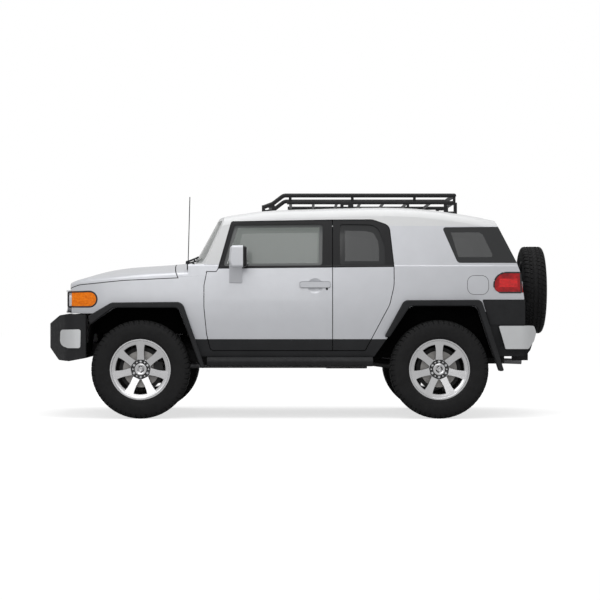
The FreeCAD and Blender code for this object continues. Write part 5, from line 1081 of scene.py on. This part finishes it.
@dataclass
class Wheel:
    """A wheel's finish, its hub cap, its nuts and the bosses between them."""

    rim_node: str
    tyre: Tyre
    outward: int
    nut_count: int = 6
    nut_scale: float = 1.12
    nut_circle: float = 0.0700
    nut_face: float = 0.051
    nut_sunk: float = 0.009
    boss_sunk: float = 0.004
    spoke_back: float = 0.030
    cap_radius: float = 0.050
    cap_face: float = 0.0785
    hub_ring: tuple[float, float] = (0.0545, 0.0865)

    def _placed(self, points: np.ndarray) -> np.ndarray:
        """Turns points made about an axle along Y to the wheel's own axle and place.

        Args:
            points: Array of points whose last axis is x, y, z.

        Returns:
            Array of the same shape, in the vehicle's frame.
        """
        if self.tyre.axis is Axis.ACROSS:
            turned = points * np.array([1.0, float(self.outward), 1.0])
        else:
            turned = np.stack([-points[..., 1], points[..., 0], points[..., 2]], axis=-1)
        return turned + np.array(self.tyre.centre)

    def _on_circle(self, name: str, shape: np.ndarray, angle: float, sunk: float,
                   finish: Finish) -> bpy.types.Object:
        """One small turned part on the nuts' circle.

        Args:
            name: Name of the part.
            shape: The part's grid, made about the axle.
            angle: Its place round the circle, in radians.
            sunk: How far its foot lies behind the nuts' face.
            finish: Its finish.

        Returns:
            The part.
        """
        across, up = self.nut_circle * math.cos(angle), self.nut_circle * math.sin(angle)
        place = np.array([across, self.nut_face - sunk, up])
        piece = from_grid(name, self._placed(shape + place), False, True)
        piece.data.materials.append(finish.material())
        return piece

    def nuts(self) -> bpy.types.Object:
        """Hexagonal nuts with domed ends on their bolt circle, and a low round boss between each two.

        Returns:
            All of them as one piece.
        """
        boss = lathe([(0.0, 0.0), (0.0, 0.0088), (0.010, 0.0085), (0.013, 0.0065), (0.0135, 0.0)], 20)
        profile = [
            (0.0, 0.0), (0.0, 0.0125), (0.020, 0.0125), (0.025, 0.0105), (0.030, 0.0075), (0.0315, 0.0),
        ]
        nut = lathe([(along, radius * self.nut_scale) for along, radius in profile], 6)
        pieces = []
        for i in range(self.nut_count):
            angle = math.pi / 2.0 + i * 2.0 * math.pi / self.nut_count
            between = angle + math.pi / self.nut_count
            pieces.append(self._on_circle(f"nut_{i}", nut, angle, self.nut_sunk, CHROME))
            pieces.append(self._on_circle(f"boss_{i}", boss, between, self.boss_sunk, ALLOY))
        return joined(f"{self.rim_node}_nuts", pieces)

    def cap(self) -> bpy.types.Object:
        """A dished centre cap with a plain raised ring.

        Returns:
            The cap.
        """
        low = self.cap_face
        profile = [
            (low - 0.004, 0.0), (low - 0.004, self.cap_radius), (low + 0.002, self.cap_radius),
            (low + 0.005, self.cap_radius - 0.005), (low + 0.004, self.cap_radius - 0.012),
            (low + 0.0015, self.cap_radius - 0.018), (low + 0.0015, 0.020), (low + 0.0045, 0.017),
            (low + 0.0045, 0.011), (low + 0.002, 0.008), (low + 0.002, 0.0),
        ]
        return from_grid(f"{self.rim_node}_cap", self._placed(lathe(profile, 48)), False, True)

    def build(self) -> None:
        """Dresses the rim and adds its small parts."""
        self.tyre.build()
        coated(self.rim_node, ALLOY.slot, self._rim_material())
        finished(self.nuts(), CHROME, self.tyre.body)
        finished(self.cap(), ALLOY, self.tyre.body, CREASE)

    def _rim_material(self) -> bpy.types.Material:
        """Bright alloy outside, with painted shade on the barrel behind the spokes and round the nuts.

        Returns:
            The material.
        """
        along = 1 if self.tyre.axis is Axis.ACROSS else 0
        sign = float(self.outward) if self.tyre.axis is Axis.ACROSS else -1.0
        middle = sign * self.tyre.centre[along]
        normal = tuple(sign if i == along else 0.0 for i in range(3))
        # Painted shade: the barrel behind the spokes and a ring round the nuts are dark alloy
        deep = Slab(normal, -OPEN, middle + self.spoke_back)
        hub = Ring(self.tyre.centre, along, *self.hub_ring)
        return zoned(ALLOY, f"alloy_{self.rim_node}", ((deep,), BARREL_SHADE), ((hub,), BARREL_SHADE)).material()


@dataclass
class Fittings:
    """Small parts: lock cylinders beside the front door handles and glass in the door mirrors."""

    lock_place: tuple[float, float] = (-0.243, 1.168)
    mirror_middle: tuple[float, float] = (0.985, 1.458)
    mirror_size: tuple[float, float] = (0.150, 0.150)
    mirror_corner: float = 0.03
    behind_mirror_x: float = 0.2

    def lock(self, side: Side) -> None:
        """A round lock cylinder with a raised lip and a sunk middle.

        Args:
            side: Which side of the vehicle.
        """
        sign = float(side.value)
        x, z = self.lock_place
        start = np.array([[x, RAY_START_Y * sign, z]])
        face = on_surface(tree_of(f"front_door_{side.word}"), start, (0.0, -sign, 0.0))[0]
        profile = [(-0.004, 0.0105), (0.0018, 0.0105), (0.0024, 0.0095), (0.0014, 0.0080), (0.0010, 0.0)]
        points = lathe(profile, 32) * np.array([1.0, sign, 1.0]) + face
        cylinder = from_grid(f"lock_{side.word}", points, False, True)
        finished(cylinder, SEAL, f"front_door_{side.word[0]}", CREASE)

    def mirror_glass(self, side: Side) -> None:
        """A flat rounded mirror glass in the housing's rear face.

        Each layer is the rounded outline, scaled about its middle and stepped along X.

        Args:
            side: Which side of the vehicle.
        """
        sign = float(side.value)
        half_y, half_z = self.mirror_size[0] / 2.0, self.mirror_size[1] / 2.0
        corners = ((half_y, half_z), (-half_y, half_z), (-half_y, -half_z), (half_y, -half_z))
        outline = rounded([(y, z, self.mirror_corner) for y, z in corners])
        middle_y, middle_z = self.mirror_middle[0] * sign, self.mirror_middle[1]
        start = np.array([[self.behind_mirror_x, middle_y, middle_z]])
        face = on_surface(tree_of(f"mirror_{side.word}"), start, (1.0, 0.0, 0.0))[0]
        layers = []
        # Step forward into the housing and share of the outline, from the pane's back to its face
        for x, share in ((0.004, 0.0), (0.004, 1.0), (-0.0008, 1.0), (-0.0012, 0.97), (-0.0012, 0.0)):
            ring = np.stack([np.full(len(outline), face[0] + x), middle_y + outline[:, 0] * share,
                             middle_z + outline[:, 1] * share], axis=1)
            layers.append(ring)
        glass = from_grid(f"mirror_glass_{side.word}", np.array(layers), False, True)
        finished(glass, BOWL, f"front_door_{side.word[0]}", CREASE)

    def build(self) -> None:
        """Makes the small parts on both sides."""
        for side in Side:
            self.lock(side)
            self.mirror_glass(side)


@dataclass
class Lamps:
    """Lens finishes, rubber seals, the seam of the fuel flap and round headlamp units."""

    corner_outline: RoundedOutline = (
        (2.098, 1.140, 0.010), (1.833, 1.149, 0.070), (1.833, 1.007, 0.070), (2.098, 1.007, 0.010),
    )
    tail_outline: RoundedOutline = (
        (-1.750, 1.317, 0.112), (-1.992, 1.317, 0.006), (-1.999, 1.136, 0.006), (-1.750, 1.136, 0.062),
    )
    flap_outline: RoundedOutline = (
        (-1.510, 1.290, 0.062), (-1.702, 1.290, 0.062), (-1.702, 1.118, 0.062), (-1.510, 1.118, 0.062),
    )
    seal_radius: float = 0.0085
    seam_radius: float = 0.0022
    bead_points: int = 140
    bead_sides: int = 8
    bead_sunk: float = 0.45
    deepest_drop: float = 0.03
    headlamp_y: float = 0.585
    headlamp_z: float = 1.074
    headlamp_reach: float = 0.065
    before_nose_x: float = 2.6
    headlamp_crease: float = 40.0

    def bead(self, name: str, outline: RoundedOutline, side: Side, nodes: Sequence[str],
             radius: float) -> bpy.types.Object:
        """A rubber bead that follows an outline on the body's surface.

        The outline is cast sideways onto the surface, never deeper than deepest_drop below its
        middle depth, and the bead is sunk by bead_sunk of its radius.

        Args:
            name: Name of the piece.
            outline: Side-view corners (x, z, radius).
            side: Which side of the vehicle.
            nodes: Nodes that the bead lies on.
            radius: Radius of the bead.

        Returns:
            The bead.
        """
        flat = spaced(rounded(outline), self.bead_points)
        sign = float(side.value)
        starts = np.stack([flat[:, 0], np.full(len(flat), RAY_START_Y * sign), flat[:, 1]], axis=1)
        path = on_surface(tree_of(*nodes), starts, (0.0, -sign, 0.0))
        depth = np.abs(path[:, 1])
        held = np.maximum(depth, np.median(depth) - self.deepest_drop)
        path[:, 1] = sign * (held - radius * self.bead_sunk)
        bead = from_grid(name, tube(path, radius, self.bead_sides), True, True)
        return finished(bead, SEAL, BODY)

    def headlamp(self, side: Side) -> None:
        """A round reflector bowl behind a domed lens, in the nose's lamp panel and square to it.

        Three profiles are turned about an axle along X, and then about Z by the panel's slope, which
        comes from two rays beside the middle one.

        Args:
            side: Which side of the vehicle.
        """
        sign = float(side.value)
        steps = (0.0, -self.headlamp_reach, self.headlamp_reach)
        starts = np.array([[self.before_nose_x, sign * (self.headlamp_y + step), self.headlamp_z]
                           for step in steps])
        face, near, far = on_surface(tree_of("headlamps"), starts, (-1.0, 0.0, 0.0))
        lean = math.atan2(near[0] - far[0], 2.0 * self.headlamp_reach)
        turn = np.array([[math.cos(lean), -math.sin(lean) * sign, 0.0],
                         [math.sin(lean) * sign, math.cos(lean), 0.0], [0.0, 0.0, 1.0]])
        bezel = [
            (-0.010, 0.062), (0.004, 0.064), (0.007, 0.060), (0.006, 0.055), (-0.001, 0.052), (-0.010, 0.052),
        ]
        lens = [(-0.004, 0.0555), (0.0015, 0.052), (0.005, 0.040), (0.007, 0.022), (0.008, 0.0)]
        bowl = [(-0.002, 0.051), (-0.0025, 0.028), (-0.002, 0.017), (0.002, 0.013), (0.003, 0.0)]
        for label, profile, finish in (("bezel", bezel, CHROME), ("lens", lens, LENS), ("bowl", bowl, BOWL)):
            points = lathe(profile, 48, Axis.ALONG) @ turn.T + face
            ring = from_grid(f"headlamp_{side.word}_{label}", points, label == "bezel", True)
            finished(ring, finish, BODY, self.headlamp_crease)

    def build(self) -> None:
        """Dresses all lamps."""
        painted("corner_lamps", AMBER)
        painted("tail_lamps", RED)
        painted("headlamps", FRAME_BLACK)
        for side in Side:
            front, rear = ("front_fenders", "corner_lamps"), (f"body_side_{side.word}", "tail_lamps")
            self.bead(f"corner_lamp_seal_{side.word}", self.corner_outline, side, front, self.seal_radius)
            self.bead(f"tail_lamp_seal_{side.word}", self.tail_outline, side, rear, self.seal_radius)
            self.headlamp(side)
        self.bead("fuel_flap_seam", self.flap_outline, Side.LEFT, ("body_side_left",), self.seam_radius)


@dataclass
class Pad:
    """A crowned seat pad: a rounded block whose faces bulge and carry sewn channels.

    The pad is a superellipsoid: each axis is a signed power of sines and cosines of two angles,
    which gives flat faces with round edges. Its thickness falls off from the middle by cosines, and
    each channel is a bell-shaped dip across the face away from the frame.
    """

    name: str
    centre: Point
    size: Point
    lean: float = 0.0
    rows: int = 40
    columns: int = 72
    squareness: float = 0.28
    crown: float = 0.012
    crown_spread: float = 1.4
    channels: tuple[float, ...] = (-0.32, 0.32)
    channel_width: float = 0.035
    channel_depth: float = 0.05
    pole_gap: float = 0.001

    def points(self) -> np.ndarray:
        """The pad's grid, leaned about the Y axis by lean degrees.

        Returns:
            Array of rows x columns x 3.
        """
        pole = math.pi / 2.0 - self.pole_gap
        v = np.linspace(-pole, pole, self.rows)[:, None]
        u = np.linspace(-math.pi, math.pi, self.columns, endpoint=False)[None, :]

        def power(value: np.ndarray) -> np.ndarray:
            """The value's signed power."""
            return np.sign(value) * np.abs(value) ** self.squareness

        x = power(np.cos(v)) * power(np.cos(u))
        y = power(np.cos(v)) * power(np.sin(u))
        z = power(np.sin(v)) * np.ones_like(u)
        fall = 1.0 - np.cos(x * self.crown_spread) * np.cos(y * self.crown_spread)
        swell = 1.0 - self.crown / self.size[2] * 2.0 * fall
        sewn = np.zeros_like(x)
        for place in self.channels:
            sewn += np.exp(-((y - place * 2.0) / self.channel_width) ** 2)
        z = z * (swell - self.channel_depth * np.clip(sewn, 0.0, 1.0) * (z > 0.5))
        flat = np.stack([x * self.size[0] / 2.0, y * self.size[1] / 2.0, z * self.size[2] / 2.0], axis=-1)
        angle = math.radians(self.lean)
        turn = np.array([[math.cos(angle), 0.0, math.sin(angle)], [0.0, 1.0, 0.0],
                         [-math.sin(angle), 0.0, math.cos(angle)]])
        return flat @ turn.T + np.array(self.centre)

    def build(self) -> bpy.types.Object:
        """Makes the pad, closed at both ends by a fan of triangles.

        Returns:
            The pad.
        """
        grid = self.points()
        rows, columns = grid.shape[:2]
        points = np.vstack([grid.reshape(-1, 3), grid[0].mean(axis=0), grid[-1].mean(axis=0)])
        a, b = np.meshgrid(np.arange(rows - 1), np.arange(columns), indexing="ij")
        b2 = (b + 1) % columns
        low, low2 = a * columns + b, a * columns + b2
        high, high2 = low + columns, low2 + columns
        wall = np.stack([low, low2, high2, low, high2, high], axis=-1).reshape(-1, 3)
        ring = np.arange(columns)
        following = (ring + 1) % columns
        top = (rows - 1) * columns
        floor = np.stack([np.full(columns, rows * columns), following, ring], axis=1)
        crown = np.stack([np.full(columns, rows * columns + 1), top + ring, top + following], axis=1)
        return from_faces(self.name, points, np.vstack([wall, floor, crown]))


@dataclass
class Cabin:
    """Padded seats that take the place of the plain seat blocks."""

    seat_y: float = 0.388
    seat_pad: tuple[float, float] = (0.52, 0.455)
    seat_channels: tuple[float, ...] = (-0.27, 0.27)
    seat_rails_x: tuple[float, ...] = (-0.1, 0.3)
    seat_rail_z: float = 0.705
    seat_rail: Point = (0.055, 0.40, 0.13)
    bench_base_centre: Point = (-0.955, 0.0, 0.868)
    bench_base: Point = (0.40, 1.18, 0.075)
    bench_y: float = 0.297375
    bench_pad_width: float = 0.590
    bench_channels: tuple[float, ...] = (0.0,)

    def pad(self, label: str, centre: Point, size: Point, lean: float,
            channels: tuple[float, ...]) -> bpy.types.Object:
        """One fabric pad.

        Args:
            label: Name of the pad.
            centre: Its middle.
            size: Its length, width and thickness.
            lean: Turn about the Y axis in degrees.
            channels: Places of the sewn channels across the width.

        Returns:
            The pad.
        """
        piece = Pad(label, centre, size, lean, channels=channels).build()
        piece.data.materials.append(FABRIC.material())
        return piece

    def rail(self, label: str, centre: Point, size: Point) -> bpy.types.Object:
        """A dark block of the seat's frame.

        Args:
            label: Name of the block.
            centre: Its middle.
            size: Its length, width and height.

        Returns:
            The block.
        """
        corners = np.array([[x, y, z] for x in (-0.5, 0.5) for y in (-0.5, 0.5) for z in (-0.5, 0.5)])
        faces = np.array([[0, 1, 3, 2], [4, 6, 7, 5], [0, 4, 5, 1], [2, 3, 7, 6], [0, 2, 6, 4], [1, 5, 7, 3]])
        piece = from_faces(label, corners * np.array(size) + np.array(centre), faces)
        piece.data.materials.append(CABIN_TRIM.material())
        return piece

    def front(self) -> bpy.types.Object:
        """Both front seats: cushion and back on dark cross rails.

        Returns:
            The seats as one piece.
        """
        parts = []
        for side in Side:
            y = side.value * self.seat_y
            # Name, place, thickness and lean of each pad
            for label, x, z, thick, lean in (("cushion", 0.105, 0.826, 0.135, -3.0),
                                             ("back", -0.178, 1.075, 0.115, -75.5)):
                size = (*self.seat_pad, thick)
                parts.append(self.pad(f"{label}_{side.word}", (x, y, z), size, lean, self.seat_channels))
            for x in self.seat_rails_x:
                parts.append(self.rail(f"rail_{side.word}", (x, y, self.seat_rail_z), self.seat_rail))
        return joined("front_seats_padded", parts)

    def bench(self) -> bpy.types.Object:
        """The rear bench: two cushions and two backs side by side on a dark base.

        Returns:
            The bench as one piece.
        """
        parts = [self.rail("bench_base", self.bench_base_centre, self.bench_base)]
        for side in Side:
            y = side.value * self.bench_y
            # Name, place, length, thickness and lean of each pad
            for label, x, z, deep, thick, lean in (("cushion", -0.945, 0.945, 0.48, 0.130, -4.5),
                                                   ("back", -1.207, 1.108, 0.455, 0.100, -73.0)):
                size = (deep, self.bench_pad_width, thick)
                name = f"bench_{label}_{side.word}"
                parts.append(self.pad(name, (x, y, z), size, lean, self.bench_channels))
        return joined("rear_bench_padded", parts)

    def build(self) -> None:
        """Makes the padded seats and lets each take its node's place."""
        for piece, node in ((self.front(), "front_seats"), (self.bench(), "rear_bench")):
            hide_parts(node)
            finished(piece, FABRIC, BODY)
        LOG.info("cabin dressed")


@dataclass
class Studio:
    """Floor, soft lights, white surroundings and the camera at the photograph's viewpoint."""

    camera_place: Point = (0.0, 18.95, 1.069)
    view_width: float = 5.388
    view_distance: float = 18.0
    sensor: float = 36.0
    view_end: float = 200.0
    sky: float = 0.66
    top_light: float = 215.0
    top_place: Point = (0.0, 1.5, 6.0)
    top_aim: Point = (0.0, 0.0, 0.8)
    top_size: float = 6.0
    side_light: float = 105.0
    side_place: Point = (2.0, 9.0, 4.0)
    side_aim: Point = (0.0, 0.0, 0.9)
    side_size: float = 5.0
    floor_reach: float = 40.0
    floor_tones: tuple[Colour, Colour] = ((0.50, 0.50, 0.50), (0.52, 0.52, 0.52))
    floor_glow: float = 0.68
    white: Colour = (1.0, 1.0, 1.0)

    def floor(self) -> None:
        """A wide pale floor, which glows only where the camera sees it, so that it is nearly white."""
        corners = np.array([[-1.0, -1.0, 0.0], [1.0, -1.0, 0.0], [1.0, 1.0, 0.0], [-1.0, 1.0, 0.0]])
        made = from_faces("studio_floor", corners * self.floor_reach, np.array([[0, 1, 2, 3]]))
        graph = Graph("studio_floor_white")
        graph.set("Base Color", graph.blend(graph.noise(0.5), *self.floor_tones))
        graph.set("Roughness", 0.9)
        graph.set("Specular IOR Level", 0.0)
        graph.set("Emission Color", self.white)
        path = graph.nodes.new("ShaderNodeLightPath")
        seen = graph.calc("MAXIMUM", path.outputs["Is Camera Ray"], path.outputs["Is Transmission Ray"])
        graph.set("Emission Strength", graph.calc("MULTIPLY", seen, self.floor_glow))
        made.data.materials.append(graph.material)

    def surroundings(self) -> None:
        """Even light from all round, seen as white."""
        world = bpy.data.worlds.new("studio_sky")
        bpy.context.scene.world = world
        world.use_nodes = True
        nodes, links = world.node_tree.nodes, world.node_tree.links
        light, seen = nodes["Background"], nodes.new("ShaderNodeBackground")
        for background, strength in ((light, self.sky), (seen, 1.0)):
            background.inputs["Strength"].default_value = strength
            background.inputs["Color"].default_value = (*self.white, 1.0)
        path = nodes.new("ShaderNodeLightPath")
        either = nodes.new("ShaderNodeMath")
        either.operation = "MAXIMUM"
        links.new(path.outputs["Is Camera Ray"], either.inputs[0])
        links.new(path.outputs["Is Transmission Ray"], either.inputs[1])
        mix = nodes.new("ShaderNodeMixShader")
        links.new(either.outputs[0], mix.inputs[0])
        links.new(light.outputs[0], mix.inputs[1])
        links.new(seen.outputs[0], mix.inputs[2])
        links.new(mix.outputs[0], nodes["World Output"].inputs[0])

    def lamp(self, name: str, place: Point, aim: Point, size: float, power: float) -> None:
        """A large soft square light.

        Args:
            name: Name of the light.
            place: Where it hangs.
            aim: Point that it faces.
            size: Width in metres.
            power: Power in watts.
        """
        data = bpy.data.lights.new(name, "AREA")
        data.size = size
        data.energy = power
        made = placed(name, data)
        made.location = place
        made.rotation_euler = (Vector(aim) - Vector(place)).to_track_quat("-Z", "Y").to_euler()

    def camera(self) -> None:
        """The camera, level and square to the vehicle's left side."""
        data = bpy.data.cameras.new("camera")
        data.sensor_width = self.sensor
        data.lens = self.sensor * self.view_distance / self.view_width
        data.clip_end = self.view_end
        made = placed("camera", data)
        made.location = self.camera_place
        made.rotation_euler = (math.pi / 2.0, 0.0, math.pi)
        bpy.context.scene.camera = made

    def build(self) -> None:
        """Sets up the whole studio."""
        bpy.context.scene.view_settings.view_transform = "Standard"
        self.floor()
        self.surroundings()
        self.lamp("light_above", self.top_place, self.top_aim, self.top_size, self.top_light)
        self.lamp("light_side", self.side_place, self.side_aim, self.side_size, self.side_light)
        self.camera()
        LOG.info("studio ready")


def wheels() -> list[Wheel]:
    """All five wheels, each sized by its tyre node's box.

    Returns:
        The four road wheels and the spare.
    """
    made = []
    for end in ("front", "rear"):
        for side in Side:
            low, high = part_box(f"tyre_{end}_{side.word}")
            tyre = Tyre(f"tyre_{end}_{side.word}", f"wheel_{end}_{side.word}", tuple((low + high) / 2.0),
                        (high.z - low.z) / 2.0, RIM_RADIUS, high.y - low.y, ROAD_BEAD)
            made.append(Wheel(f"rim_{end}_{side.word}", tyre, side.value))
    low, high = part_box("spare_tyre")
    width = high.x - low.x
    spare = Tyre("spare_tyre", "gate", tuple((low + high) / 2.0), (high.z - low.z) / 2.0, RIM_RADIUS, width,
                 width * RIM_WIDTH_SHARE / 2.0 - BEAD_INSET, Axis.ALONG)
    made.append(Wheel("spare_rim", spare, 1))
    return made


def main() -> None:
    """Builds every sub-assembly in order."""
    logging.basicConfig(level=logging.INFO, format="%(message)s")
    Bodywork().build()
    Glazing().build()
    RunningGear().build()
    Lamps().build()
    Fittings().build()
    for wheel in wheels():
        wheel.build()
    Cabin().build()
    Studio().build()


if __name__ == "__main__":
    main()
